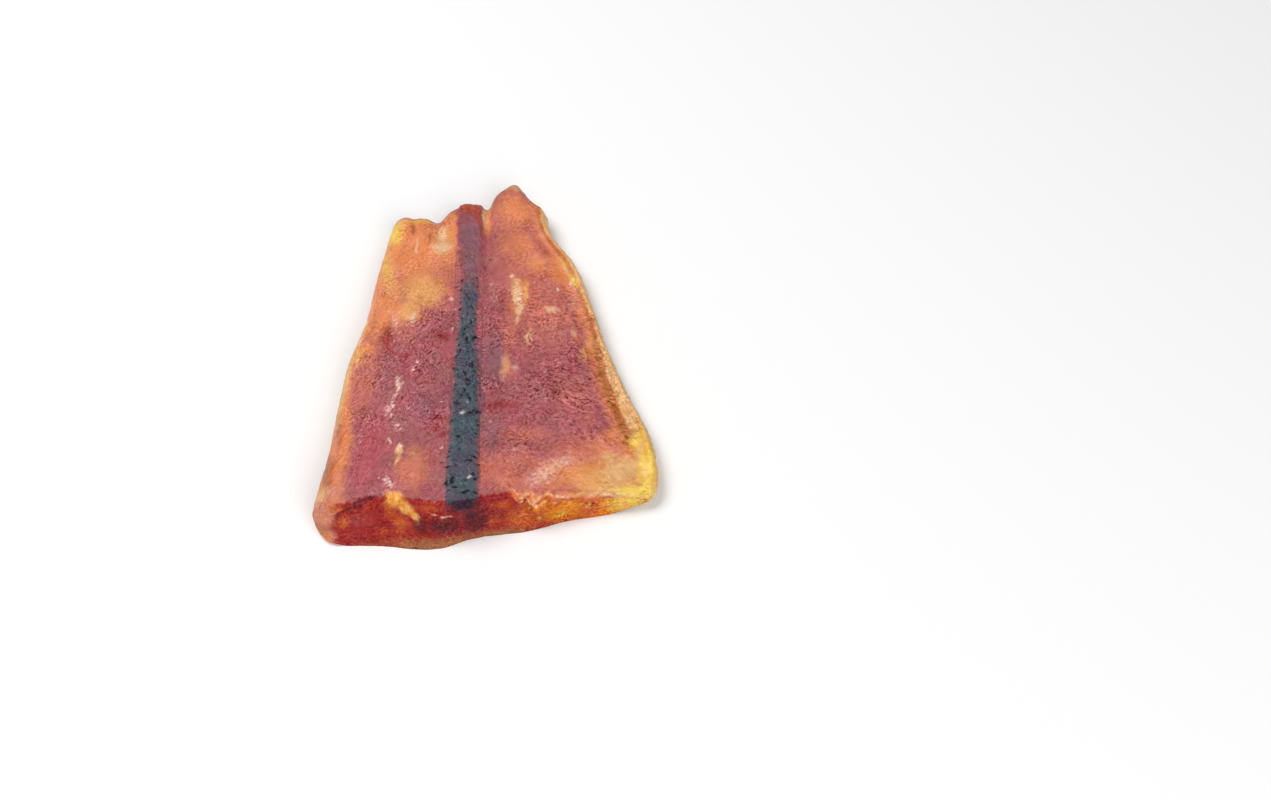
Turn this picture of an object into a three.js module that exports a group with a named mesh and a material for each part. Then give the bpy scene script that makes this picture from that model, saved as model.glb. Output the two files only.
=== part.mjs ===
// A slice of dried salmon fillet, one piece of fish with the skin off.
//
// Millimetres, +Z up. The wide cut face looks to -Y, the narrow end with its three lobes
// to +Y, and the dark band of the lateral line runs between them. The origin is on the
// surface that the slice lies on, under the middle of its outline.
//
// The slice is one box with a fine grid on it, bent by gridPoint(): every corner of the
// grid has a place across the slice (left edge, band, right edge), along it (front cut to
// back cut) and through it (underside to top), and the curves below say where that is.

import * as THREE from 'three';

// --- Driving dimensions -------------------------------------------------------------

// The two long edges seen from above, as [y, x].
const LEFT_EDGE = [
  [-52, -46.5], [-37, -43.6], [-19, -41.6], [-3, -39.5], [11, -35.6], [28, -33], [49, -29.1],
];
const RIGHT_EDGE = [
  [-46, 46], [-39, 46.2], [-29, 44.6], [-17, 39.8], [0, 33.8], [16, 29.4], [30, 25], [42, 17.9], [51, 16.2],
];

// The front cut leans outward: its foot on the table and its lip above, as [x, y].
const FRONT_FOOT = [
  [-46, -58.8], [-30, -59.4], [-20, -60.5], [-11, -60.1], [-4, -57.6], [12, -55.6], [24, -52.6],
  [35, -51], [46, -48.6],
];
const FRONT_LIP = [
  [-46, -54.4], [-30, -52.6], [-9, -54.4], [7, -50.8], [13, -51.9], [28, -50], [46, -48.6],
];

// Where the columns of the grid meet the two cuts, near enough to read the curves there.
const CUTS_Y = { front: -52, back: 50 };

// The three lobes of the narrow end, left to right: where each starts and peaks, how far
// back it reaches at those places, and how full its two flanks are (1 is straight).
const LOBES = [
  { start: -31, peak: -26, base: 49, tip: 48.8, rise: 1, fall: 1.4 },
  { start: -17, peak: -7.4, base: 47.6, tip: 52.6, rise: 0.8, fall: 1.6 },
  { start: -1.3, peak: 7.5, base: 51.6, tip: 60.6, rise: 0.6, fall: 1.05 },
];
const BACK_END = { x: 18, y: 48.4 };
const LOBE_BLUNTING = 0.9;

// Height of the top over the table, as [share of the width, height].
const FRONT_HEIGHT = [
  [0, 10.6], [0.08, 12], [0.25, 13.4], [0.4, 13.3], [0.57, 11.2], [0.71, 9.1], [0.85, 7.1], [1, 5.9],
];
const BACK_HEIGHT = [
  [0, 7.6], [0.15, 8.4], [0.4, 8.6], [0.55, 8.6], [0.8, 8.6], [1, 7],
];

// The band of the lateral line: its middle, its half width as [y, width] and its height.
const BAND_X = -5.8;
const BAND_HALF_WIDTH = [
  [-56, 4.1], [-40, 3.9], [-20, 3.5], [-10, 3], [0, 2.5], [22, 2.3], [32, 3.1], [54, 3.2],
];
const BAND_RISE = 0.6;

// The long edges are round: how far in from the outline the slice is at its full height,
// how much of the half circle the wall takes, and how high in the thickness it is widest.
const LEFT_ROUND = 5.2;
const RIGHT_ROUND = 2.2;
const WALL_SHARE = 0.72;
const WIDEST_HEIGHT = 0.4;

// The corners of the front cut: how far each one is taken back across and along.
const LEFT_CORNER = { across: 4.9, along: 7 };
const RIGHT_CORNER = { across: 3.2, along: 5 };

// The right edge has dried to a raised bead, with a shallow channel inside it.
const BEAD = { inset: 1.5, width: 1.3, rise: 1.1 };
const CHANNEL = { inset: 5.2, width: 2.2, depth: 0.7 };
const BEAD_START = 0.12;

// The creases between and in the lobes, which fade towards the front cut.
const CREASES = [
  { x: -15.5, drift: 0.16, width: 2.1, depth: 2.6, length: 15 },
  { x: -0.9, drift: 0, width: 1.5, depth: 2.4, length: 17 },
  { x: -23, drift: 0.05, width: 1.6, depth: 0.9, length: 11 },
];

// Drying curls the thin front corner off the table and pulls down the lips of the cuts.
const CURL = { x: 46, y: -44, reach: 17, rise: 2.2 };
const LIP_DROP = { depth: 0.9, reach: 1.3 };

// Slow swells of the dried top, and the flakes torn from the lip right of the band.
const SWELL = { height: 0.28, across: 19, along: 31 };
const TORN_LIP = { from: 5, to: 20, fade: 3, pitch: 5.4, depth: 0.9 };

// Steps of the grid, which crowd towards the edges by the powers below.
const STEPS = { left: 15, band: 4, right: 19, along: 44, up: 4 };
const LEFT_CROWDING = 1.5;
const RIGHT_CROWDING = 1.6;
const END_CROWDING = 0.6;

// --- Curves ---------------------------------------------------------------------------

const { clamp, lerp, smoothstep } = THREE.MathUtils;

// A smooth curve through a few [position, value] pairs, held level past both ends.
function curve(pairs) {
  const positions = pairs.map(([position]) => position);
  const values = pairs.map(([, value]) => value);
  const interpolant = new THREE.CubicInterpolant(positions, values, 1);
  return (position) => interpolant.evaluate(clamp(position, positions[0], positions.at(-1)))[0];
}

// A soft hump of height 1 in its middle, gone at about two widths from it.
const hump = (distance, width) => Math.exp(-((distance / width) ** 2));

const leftEdge = curve(LEFT_EDGE);
const rightEdge = curve(RIGHT_EDGE);
const frontFoot = curve(FRONT_FOOT);
const frontLip = curve(FRONT_LIP);
const frontHeight = curve(FRONT_HEIGHT);
const backHeight = curve(BACK_HEIGHT);
const bandHalfWidth = curve(BAND_HALF_WIDTH);

// --- Outline --------------------------------------------------------------------------

// How far back the sharp outline of the lobes reaches: up one flank and down the other.
function lobeEdge(x) {
  const index = Math.max(0, LOBES.findLastIndex((lobe) => x >= lobe.start));
  const lobe = LOBES[index];
  const next = LOBES[index + 1] ?? { start: BACK_END.x, base: BACK_END.y };
  if (x < lobe.peak) {
    const share = clamp((x - lobe.start) / (lobe.peak - lobe.start), 0, 1);
    return lerp(lobe.base, lobe.tip, share ** lobe.rise);
  }
  const share = clamp((next.start - x) / (next.start - lobe.peak), 0, 1);
  return lerp(next.base, lobe.tip, share ** lobe.fall);
}

// The same outline with its tips and creases blunted.
function backEdge(x) {
  return (lobeEdge(x - LOBE_BLUNTING) + lobeEdge(x) + lobeEdge(x + LOBE_BLUNTING)) / 3;
}

// How far a corner is rounded off, at a distance back from the front cut.
function cornerInset(corner, distance) {
  const share = clamp(1 - distance / corner.along, 0, 1);
  return corner.across * (1 - Math.sqrt(1 - share ** 2));
}

// How far the torn flakes set the lip back.
function tornLip(x) {
  const { from, to, fade, pitch, depth } = TORN_LIP;
  const within = smoothstep(x, from, from + fade) * (1 - smoothstep(x, to - fade, to));
  return within * depth * Math.sin((2 * Math.PI * x) / pitch);
}

// --- Heights --------------------------------------------------------------------------

// Share of its full half height that a round edge has at a distance in from the outline.
function roundShare(distance, radius) {
  const share = clamp(1 - distance / radius, 0, 1);
  return Math.sqrt(1 - share ** 2);
}

function creaseDepth(x, fromBack) {
  return CREASES.reduce((depth, crease) => {
    const middle = crease.x + crease.drift * fromBack;
    return depth + crease.depth * hump(x - middle, crease.width) * hump(fromBack, crease.length);
  }, 0);
}

// Height of the top before its edges are rounded.
function topHeight({ x, y, left, right, frontY, backY, bandShare }) {
  const across = (x - left) / (right - left);
  const along = clamp((y - frontY) / (backY - frontY), 0, 1);
  const swell = Math.sin((2 * Math.PI * x) / SWELL.across) * Math.cos((2 * Math.PI * y) / SWELL.along);
  const bead = BEAD.rise * hump(right - x - BEAD.inset, BEAD.width);
  const channel = CHANNEL.depth * hump(right - x - CHANNEL.inset, CHANNEL.width);
  const nearCuts = hump(y - frontY, LIP_DROP.reach) + hump(backY - y, LIP_DROP.reach);
  return (
    lerp(frontHeight(across), backHeight(across), along) +
    SWELL.height * swell +
    BAND_RISE * bandShare +
    (bead - channel) * smoothstep(along, 0, BEAD_START) -
    creaseDepth(x, backY - y) -
    LIP_DROP.depth * nearCuts
  );
}

// Height of the underside, which is flat but for the curled corner.
function undersideHeight(x, y) {
  return CURL.rise * (1 - smoothstep(Math.hypot(x - CURL.x, y - CURL.y), 0, CURL.reach));
}

// --- The bent grid ----------------------------------------------------------------------

// Which of the three fields a column of the grid is in, and how far over it lies.
function column(index) {
  const { left, band, right } = STEPS;
  if (index <= left) {
    return { field: 'left', share: (index / left) ** LEFT_CROWDING };
  }
  if (index <= left + band) {
    return { field: 'band', share: 0.5 - 0.5 * Math.cos((Math.PI * (index - left)) / band) };
  }
  return { field: 'right', share: 1 - (1 - (index - left - band) / right) ** RIGHT_CROWDING };
}

// x of a column at y, between the ends given for the whole row.
function columnX({ field, share }, y, leftEnd, rightEnd) {
  const half = bandHalfWidth(y);
  if (field === 'left') {
    return lerp(leftEnd, BAND_X - half, share);
  }
  if (field === 'band') {
    return lerp(BAND_X - half, BAND_X + half, share);
  }
  return lerp(BAND_X + half, rightEnd, share);
}

// How far inside the outline a round edge is at a level from -1 (under) to 1 (top).
function wallInset(radius, level) {
  return radius * (1 - Math.sqrt(1 - (level * WALL_SHARE) ** 2));
}

// The place of a corner of the grid; across, along and up run from 0 to 1.
function gridPoint(across, along, up) {
  const place = column(Math.round(across * (STEPS.left + STEPS.band + STEPS.right)));
  const level = 2 * up - 1;

  const atFront = columnX(place, CUTS_Y.front, leftEdge(CUTS_Y.front), rightEdge(CUTS_Y.front));
  const atBack = columnX(place, CUTS_Y.back, leftEdge(CUTS_Y.back), rightEdge(CUTS_Y.back));
  const frontY = lerp(frontFoot(atFront), frontLip(atFront) + tornLip(atFront), up);
  const backY = backEdge(atBack);
  const crowded = along - (END_CROWDING * Math.sin(2 * Math.PI * along)) / (2 * Math.PI);
  const y = lerp(frontY, backY, crowded);

  const left = leftEdge(y) + cornerInset(LEFT_CORNER, y - frontY);
  const right = rightEdge(y) - cornerInset(RIGHT_CORNER, y - frontY);
  const x = columnX(place, y, left + wallInset(LEFT_ROUND, level), right - wallInset(RIGHT_ROUND, level));
  const sheetX = columnX(place, y, left + wallInset(LEFT_ROUND, 1), right - wallInset(RIGHT_ROUND, 1));

  const bandShare = place.field === 'band' ? Math.sqrt(Math.sin(Math.PI * place.share)) : 0;
  const top = topHeight({ x: sheetX, y, left, right, frontY, backY, bandShare });
  const underside = undersideHeight(sheetX, y);
  const widest = lerp(underside, top, WIDEST_HEIGHT);
  const half = level > 0 ? top - widest : widest - underside;
  const round = roundShare(sheetX - left, LEFT_ROUND) * roundShare(right - sheetX, RIGHT_ROUND);
  return new THREE.Vector3(x, y, widest + level * half * round);
}

function filletGeometry() {
  const columns = STEPS.left + STEPS.band + STEPS.right;
  const geometry = new THREE.BoxGeometry(1, 1, 1, columns, STEPS.along, STEPS.up);
  const positions = geometry.getAttribute('position');
  const corner = new THREE.Vector3();
  for (let index = 0; index < positions.count; index += 1) {
    corner.fromBufferAttribute(positions, index).addScalar(0.5);
    const { x, y, z } = gridPoint(corner.x, corner.y, corner.z);
    positions.setXYZ(index, x, y, z);
  }
  geometry.computeVertexNormals();
  return geometry;
}

// --- The part ---------------------------------------------------------------------------

const driedFlesh = new THREE.MeshStandardMaterial({ color: 0xb4665a, roughness: 0.45, metalness: 0 });

const fillet = new THREE.Mesh(filletGeometry(), driedFlesh);
fillet.name = 'fillet_slice';

const group = new THREE.Group();
group.add(fillet);

export default group;
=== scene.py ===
"""A slice of dried salmon fillet on a pale table, in plain soft studio light.

The slice is one piece of fish, so it is one mesh: a box with a fine grid on it, bent to the
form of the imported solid, then given the small relief of dried flesh and the painted weights
that its material reads. Everything is worked out in millimetres and written in metres.
"""

import logging
import math
from dataclasses import dataclass, field
from enum import Enum
from typing import Callable, Iterable, Sequence

import bmesh
import bpy
import numpy as np
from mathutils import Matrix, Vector, noise


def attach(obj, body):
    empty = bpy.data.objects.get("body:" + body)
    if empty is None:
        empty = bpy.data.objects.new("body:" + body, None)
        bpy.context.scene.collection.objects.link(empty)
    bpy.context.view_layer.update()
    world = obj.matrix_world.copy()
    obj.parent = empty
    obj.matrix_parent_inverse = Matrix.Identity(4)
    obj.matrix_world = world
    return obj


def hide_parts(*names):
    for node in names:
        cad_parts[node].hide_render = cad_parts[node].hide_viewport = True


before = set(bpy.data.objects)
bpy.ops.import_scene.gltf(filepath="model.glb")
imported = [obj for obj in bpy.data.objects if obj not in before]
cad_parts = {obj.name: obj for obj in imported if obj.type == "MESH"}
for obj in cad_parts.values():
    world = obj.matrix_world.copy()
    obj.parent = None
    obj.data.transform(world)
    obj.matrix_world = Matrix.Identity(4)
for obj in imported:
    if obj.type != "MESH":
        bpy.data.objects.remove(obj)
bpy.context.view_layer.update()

log = logging.getLogger("dried_salmon")

MM = 0.001
SLICE_NODE = "fillet_slice"
SLICE_PIECE = "dried_fillet_slice"

# A corner of the unit box counts as on a side of it when it is this near to that side.
ON_SIDE = 0.001
# An edge of the unit box is still uncut when it is longer than this.
UNCUT_EDGE = 0.9
# How fast the finer layers of the noise grow weaker, and how much finer each one is.
NOISE_FALLOFF = 0.9
NOISE_STEP = 2.1

# Numbers hold one value for each corner of the grid; a Value may also be a single one.
Numbers = np.ndarray
Value = float | np.ndarray
Range = tuple[float, float]
Pairs = Sequence[tuple[float, float]]


# --- Small helpers ------------------------------------------------------------------------


def srgb(hex_colour: str, alpha: float = 1.0) -> tuple[float, float, float, float]:
    """Turns an sRGB hex colour to the linear values that shaders take.

    Args:
        hex_colour: six hex digits, with or without a leading #.
        alpha: opacity to put behind the three channels.

    Returns:
        Linear red, green, blue and alpha.
    """
    digits = hex_colour.lstrip("#")
    channels = [int(digits[start:start + 2], 16) / 255 for start in (0, 2, 4)]
    linear = [c / 12.92 if c <= 0.04045 else ((c + 0.055) / 1.055) ** 2.4 for c in channels]
    return (linear[0], linear[1], linear[2], alpha)


def smooth(values: Numbers, low: Value, high: Value) -> Numbers:
    """Rises smoothly from 0 at low to 1 at high; low may be the larger of the two.

    Args:
        values: where to read the step.
        low: value at which the result leaves 0.
        high: value at which the result reaches 1.

    Returns:
        The step at each value, from 0 to 1.
    """
    share = np.clip((values - low) / (high - low), 0.0, 1.0)
    return share * share * (3.0 - 2.0 * share)


def hump(distance: Numbers, width: float) -> Numbers:
    """Returns a soft hump of height 1 at distance 0, gone at about two widths from it."""
    return np.exp(-((distance / width) ** 2))


def lerp(start: Value, end: Value, share: Value) -> Value:
    """Returns the value a share of the way from start to end."""
    return start + (end - start) * share


def curve_through(pairs: Pairs) -> Callable[[Value], Value]:
    """Makes a smooth curve through a few points, held level past both ends.

    Args:
        pairs: (position, value) of each point, in rising order of position.

    Returns:
        A function from positions to values.
    """
    at, value = np.array(pairs, float).T
    slopes = np.diff(value) / np.diff(at)
    tangents = np.concatenate([slopes[:1], (slopes[:-1] + slopes[1:]) / 2, slopes[-1:]])

    def read(position: Value) -> Value:
        """Reads the curve.

        Args:
            position: where to read it.

        Returns:
            The curve's value at each position.
        """
        place = np.clip(position, at[0], at[-1])
        left = np.clip(np.searchsorted(at, place, side="right") - 1, 0, len(at) - 2)
        width = at[left + 1] - at[left]
        p = (place - at[left]) / width
        return (
            (2 * p**3 - 3 * p**2 + 1) * value[left]
            + (p**3 - 2 * p**2 + p) * width * tangents[left]
            + (3 * p**2 - 2 * p**3) * value[left + 1]
            + (p**3 - p**2) * width * tangents[left + 1]
        )

    return read


@dataclass(frozen=True)
class Ramp:
    """A smooth ramp along one measure: nothing up to its start, its strength from its end."""

    start: float
    end: float
    strength: float = 1.0

    def at(self, values: Numbers) -> Numbers:
        """Returns the height of the ramp at each value."""
        return self.strength * smooth(values, self.start, self.end)

    def blended(self, other: "Ramp", share: Numbers, values: Numbers) -> Numbers:
        """Returns the height of a ramp that is a share of the way from this one to another."""
        start, end = lerp(self.start, other.start, share), lerp(self.end, other.end, share)
        return lerp(self.strength, other.strength, share) * smooth(values, start, end)


@dataclass(frozen=True)
class Ripple:
    """Smooth noise: width of its largest lumps in millimetres, its finer layers, its seed."""

    size: float
    layers: int
    seed: float

    def over(self, points: Numbers) -> Numbers:
        """Reads the noise.

        Args:
            points: places in millimetres, one row each.

        Returns:
            Noise from about -1 to 1 at each point.
        """
        scaled = points / self.size + self.seed
        return np.array([
            noise.fractal(Vector(row), NOISE_FALLOFF, NOISE_STEP, self.layers)
            for row in scaled.tolist()
        ])


# --- Form ---------------------------------------------------------------------------------


@dataclass(frozen=True)
class Lobe:
    """One lobe of the narrow end: where it starts and peaks, and how full its flanks are."""

    start: float
    peak: float
    base: float
    tip: float
    rise: float
    fall: float


@dataclass(frozen=True)
class Crease:
    """A crease between two lobes, which fades towards the front cut."""

    x: float
    drift: float
    width: float
    depth: float
    length: float


@dataclass(frozen=True)
class TornLip:
    """The torn stretch of the front lip, right of the band: a few rounded teeth."""

    ends: Range = (5, 20)
    fade: float = 3
    pitch: float = 5.4
    depth: float = 0.9

    def offset(self, x: Numbers) -> Numbers:
        """Works out the teeth of the lip.

        Args:
            x: places across the slice.

        Returns:
            How far the lip steps back at each x.
        """
        start, end = self.ends
        within = smooth(x, start, start + self.fade) * (1 - smooth(x, end - self.fade, end))
        return within * self.depth * np.sin(2 * np.pi * x / self.pitch)


@dataclass
class Placed:
    """Where the corners of the grid lie, and what the relief and the paint need of them."""

    points: Numbers
    across: Numbers
    along: Numbers
    up: Numbers
    from_left: Numbers
    from_right: Numbers
    from_front: Numbers
    from_back: Numbers

    @property
    def x(self) -> Numbers:
        """Returns the place across the slice, in millimetres."""
        return self.points[:, 0]

    @property
    def y(self) -> Numbers:
        """Returns the place along the slice, in millimetres."""
        return self.points[:, 1]

    @property
    def z(self) -> Numbers:
        """Returns the height over the table, in millimetres."""
        return self.points[:, 2]

    @property
    def on_top(self) -> Numbers:
        """Returns which corners lie on the top."""
        return self.up > 1 - ON_SIDE


@dataclass(frozen=True)
class SliceForm:
    """The slice's true form in millimetres, from the same named sizes as the solid."""

    left_edge: Pairs = (
        (-52, -46.5), (-37, -43.6), (-19, -41.6), (-3, -39.5), (11, -35.6), (28, -33), (49, -29.1),
    )
    right_edge: Pairs = (
        (-46, 46), (-39, 46.2), (-29, 44.6), (-17, 39.8), (0, 33.8), (16, 29.4), (30, 25),
        (42, 17.9), (51, 16.2),
    )
    front_foot: Pairs = (
        (-46, -58.8), (-30, -59.4), (-20, -60.5), (-11, -60.1), (-4, -57.6), (12, -55.6),
        (24, -52.6), (35, -51), (46, -48.6),
    )
    front_lip: Pairs = (
        (-46, -54.4), (-30, -52.6), (-9, -54.4), (7, -50.8), (13, -51.9), (28, -50), (46, -48.6),
    )
    front_height: Pairs = (
        (0, 10.6), (0.08, 12), (0.25, 13.4), (0.4, 13.3), (0.57, 11.2), (0.71, 9.1), (0.85, 7.1),
        (1, 5.9),
    )
    back_height: Pairs = ((0, 7.6), (0.15, 8.4), (0.4, 8.6), (0.55, 8.6), (0.8, 8.6), (1, 7))
    band_half_width: Pairs = (
        (-56, 4.1), (-40, 3.9), (-20, 3.5), (-10, 3), (0, 2.5), (22, 2.3), (32, 3.1), (54, 3.2),
    )
    torn_lip: TornLip = TornLip()
    lobes: tuple[Lobe, ...] = (
        Lobe(start=-31, peak=-26, base=49, tip=48.8, rise=1, fall=1.4),
        Lobe(start=-17, peak=-7.4, base=47.6, tip=52.6, rise=0.8, fall=1.6),
        Lobe(start=-1.3, peak=7.5, base=51.6, tip=60.6, rise=0.6, fall=1.05),
    )
    creases: tuple[Crease, ...] = (
        Crease(x=-15.5, drift=0.16, width=2.1, depth=2.6, length=15),
        Crease(x=-0.9, drift=0, width=1.5, depth=2.4, length=17),
        Crease(x=-23, drift=0.05, width=1.6, depth=0.9, length=11),
    )
    back_end: Range = (18, 48.4)
    lobe_blunting: float = 0.9
    cuts_y: Range = (-52, 50)
    band_x: float = -5.8
    band_rise: float = 0.6
    left_round: float = 5.2
    right_round: float = 2.2
    wall_share: float = 0.72
    widest_height: float = 0.4
    # Each corner's rounding: how far it reaches across the slice, and along it.
    left_corner: tuple[float, float] = (4.9, 7)
    right_corner: tuple[float, float] = (3.2, 5)
    # The dried bead and the channel inside it: distance from the edge, width, and rise or depth.
    bead: tuple[float, float, float] = (1.5, 1.3, 1.1)
    channel: tuple[float, float, float] = (5.2, 2.2, 0.7)
    bead_start: float = 0.12
    curl_at: tuple[float, float] = (46, -44)
    curl_reach: float = 17
    curl_rise: float = 2.2
    lip_drop: float = 0.9
    lip_reach: float = 1.3
    # The gentle swells of the top: their height, and their length across and along.
    swell: tuple[float, float, float] = (0.28, 19, 31)
    # The grid's steps left of the band, over it and right of it.
    steps: tuple[int, int, int] = (44, 16, 54)
    steps_along: int = 126
    steps_up: int = 12
    left_crowding: float = 1.15
    right_crowding: float = 1.2
    end_crowding: float = 0.4

    def lobe_edge(self, x: Numbers) -> Numbers:
        """Works out the outline of the lobes, still sharp.

        Args:
            x: places across the slice.

        Returns:
            How far back the outline reaches at each x.
        """
        edge = np.full_like(x, self.lobes[0].base)
        ends = [(lobe.start, lobe.base) for lobe in self.lobes[1:]] + [self.back_end]
        for lobe, (end_x, end_base) in zip(self.lobes, ends):
            up_share = np.clip((x - lobe.start) / (lobe.peak - lobe.start), 0, 1)
            down_share = np.clip((end_x - x) / (end_x - lobe.peak), 0, 1)
            rising = lerp(lobe.base, lobe.tip, up_share**lobe.rise)
            falling = lerp(end_base, lobe.tip, down_share**lobe.fall)
            edge = np.where(x >= lobe.start, np.where(x < lobe.peak, rising, falling), edge)
        return edge

    def back_edge(self, x: Numbers) -> Numbers:
        """Returns the outline of the lobes with its tips and creases blunted."""
        shifts = (-self.lobe_blunting, 0.0, self.lobe_blunting)
        return sum(self.lobe_edge(x + shift) for shift in shifts) / len(shifts)

    @staticmethod
    def corner_inset(corner: tuple[float, float], distance: Numbers) -> Numbers:
        """Works out how a corner of the front cut is rounded off.

        Args:
            corner: how far the rounding reaches across and along the slice.
            distance: distances from the front cut.

        Returns:
            How far the long edge steps in at each distance.
        """
        across, along = corner
        share = np.clip(1 - distance / along, 0, 1)
        return across * (1 - np.sqrt(1 - share**2))

    @staticmethod
    def round_share(distance: Numbers, radius: float) -> Numbers:
        """Returns the share of its half height that a round edge has at each distance in."""
        share = np.clip(1 - distance / radius, 0, 1)
        return np.sqrt(1 - share**2)

    def wall_inset(self, radius: float, level: Numbers) -> Numbers:
        """Returns how far in from the outline a round edge is, from -1 (under) to 1 (top)."""
        return radius * (1 - np.sqrt(1 - (level * self.wall_share) ** 2))

    def column_x(self, across: Numbers, y: Numbers, left_end: Numbers,
                 right_end: Numbers) -> Numbers:
        """Works out x of the grid's columns.

        Args:
            across: place of each column, from 0 at the left edge to 1 at the right.
            y: place along the slice, for the band's width.
            left_end: x of the row's left end.
            right_end: x of the row's right end.

        Returns:
            x of each corner.
        """
        left, band, right = self.steps
        index = across * (left + band + right)
        half = curve_through(self.band_half_width)(y)
        left_share = np.clip(index / left, 0, 1) ** self.left_crowding
        band_share = np.clip((index - left) / band, 0, 1)
        right_share = 1 - (1 - np.clip((index - left - band) / right, 0, 1)) ** self.right_crowding
        in_left = lerp(left_end, self.band_x - half, left_share)
        in_band = lerp(self.band_x - half, self.band_x + half, band_share)
        in_right = lerp(self.band_x + half, right_end, right_share)
        return np.where(index <= left, in_left, np.where(index <= left + band, in_band, in_right))

    def crease_depth(self, x: Numbers, from_back: Numbers) -> Numbers:
        """Works out the creases of the narrow end.

        Args:
            x: places across the slice.
            from_back: distances from the back cut.

        Returns:
            How deep the creases are at each place.
        """
        return sum(
            crease.depth
            * hump(x - crease.x - crease.drift * from_back, crease.width)
            * hump(from_back, crease.length)
            for crease in self.creases
        )

    def top_height(self, x: Numbers, y: Numbers, left: Numbers, right: Numbers,
                   front_y: Numbers, back_y: Numbers) -> Numbers:
        """Works out the height of the top before its edges are rounded.

        Args:
            x, y: the place.
            left, right: x of the two long edges there.
            front_y, back_y: y of the two cuts there.

        Returns:
            Height over the table, in millimetres.
        """
        across = np.clip((x - left) / (right - left), 0, 1)
        along = np.clip((y - front_y) / (back_y - front_y), 0, 1)
        swell_height, swell_across, swell_along = self.swell
        swell = np.sin(2 * np.pi * x / swell_across) * np.cos(2 * np.pi * y / swell_along)
        bead_inset, bead_width, bead_rise = self.bead
        channel_inset, channel_width, channel_depth = self.channel
        bead = bead_rise * hump(right - x - bead_inset, bead_width)
        channel = channel_depth * hump(right - x - channel_inset, channel_width)
        near_cuts = hump(y - front_y, self.lip_reach) + hump(back_y - y, self.lip_reach)
        height = lerp(
            curve_through(self.front_height)(across), curve_through(self.back_height)(across), along
        )
        return (
            height
            + swell_height * swell
            + (bead - channel) * smooth(along, 0, self.bead_start)
            - self.crease_depth(x, back_y - y)
            - self.lip_drop * near_cuts
        )

    def underside_height(self, x: Numbers, y: Numbers) -> Numbers:
        """Returns the height of the underside, which is flat but for the curled corner."""
        distance = np.hypot(x - self.curl_at[0], y - self.curl_at[1])
        return self.curl_rise * (1 - smooth(distance, 0, self.curl_reach))

    def place(self, unit: Numbers) -> Placed:
        """Bends the unit box to the slice.

        Args:
            unit: corners of the box's grid, each coordinate from 0 to 1.

        Returns:
            The corners' places and their distances from the slice's edges.
        """
        across, along, up = unit.T
        level = 2 * up - 1
        left_edge, right_edge = curve_through(self.left_edge), curve_through(self.right_edge)
        front_at, back_at = (np.full_like(across, y) for y in self.cuts_y)
        front_x = self.column_x(across, front_at, left_edge(front_at), right_edge(front_at))
        back_x = self.column_x(across, back_at, left_edge(back_at), right_edge(back_at))
        foot, lip = curve_through(self.front_foot), curve_through(self.front_lip)
        front_y = lerp(foot(front_x), lip(front_x) + self.torn_lip.offset(front_x), up)
        back_y = self.back_edge(back_x)
        crowded = along - self.end_crowding * np.sin(2 * np.pi * along) / (2 * np.pi)
        y = lerp(front_y, back_y, crowded)
        left = left_edge(y) + self.corner_inset(self.left_corner, y - front_y)
        right = right_edge(y) - self.corner_inset(self.right_corner, y - front_y)
        x = self.column_x(
            across, y, left + self.wall_inset(self.left_round, level),
            right - self.wall_inset(self.right_round, level),
        )
        full = np.ones_like(level)
        sheet_x = self.column_x(
            across, y, left + self.wall_inset(self.left_round, full),
            right - self.wall_inset(self.right_round, full),
        )
        top = self.top_height(sheet_x, y, left, right, front_y, back_y)
        under = self.underside_height(sheet_x, y)
        widest = lerp(under, top, self.widest_height)
        half = np.where(level > 0, top - widest, widest - under)
        rounding = self.round_share(sheet_x - left, self.left_round) * self.round_share(
            right - sheet_x, self.right_round
        )
        z = widest + level * half * rounding
        return Placed(
            points=np.stack([x, y, z], axis=1),
            across=across, along=along, up=up,
            from_left=x - left, from_right=right - x,
            from_front=y - front_y, from_back=back_y - y,
        )

    def grid_mesh(self, name: str) -> bpy.types.Mesh:
        """Cuts a unit box into the grid, twice as fine everywhere but on the underside.

        Args:
            name: name of the new mesh.

        Returns:
            The mesh, still a unit box.
        """
        bm = bmesh.new()
        bmesh.ops.create_cube(bm, size=1.0)
        bmesh.ops.translate(bm, verts=bm.verts, vec=(0.5, 0.5, 0.5))
        for axis, steps in enumerate((sum(self.steps), self.steps_along, self.steps_up)):
            whole = [
                edge for edge in bm.edges
                if abs(edge.verts[0].co[axis] - edge.verts[1].co[axis]) > UNCUT_EDGE
            ]
            bmesh.ops.subdivide_edges(bm, edges=whole, cuts=steps - 1)
        half_step = 0.5 / self.steps_up
        seen = [edge for edge in bm.edges if max(v.co.z for v in edge.verts) > half_step]
        bmesh.ops.subdivide_edges(bm, edges=seen, cuts=1, use_grid_fill=True)
        bmesh.ops.recalc_face_normals(bm, faces=bm.faces)
        mesh = bpy.data.meshes.new(name)
        bm.to_mesh(mesh)
        bm.free()
        return mesh


# --- Paint --------------------------------------------------------------------------------


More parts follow.
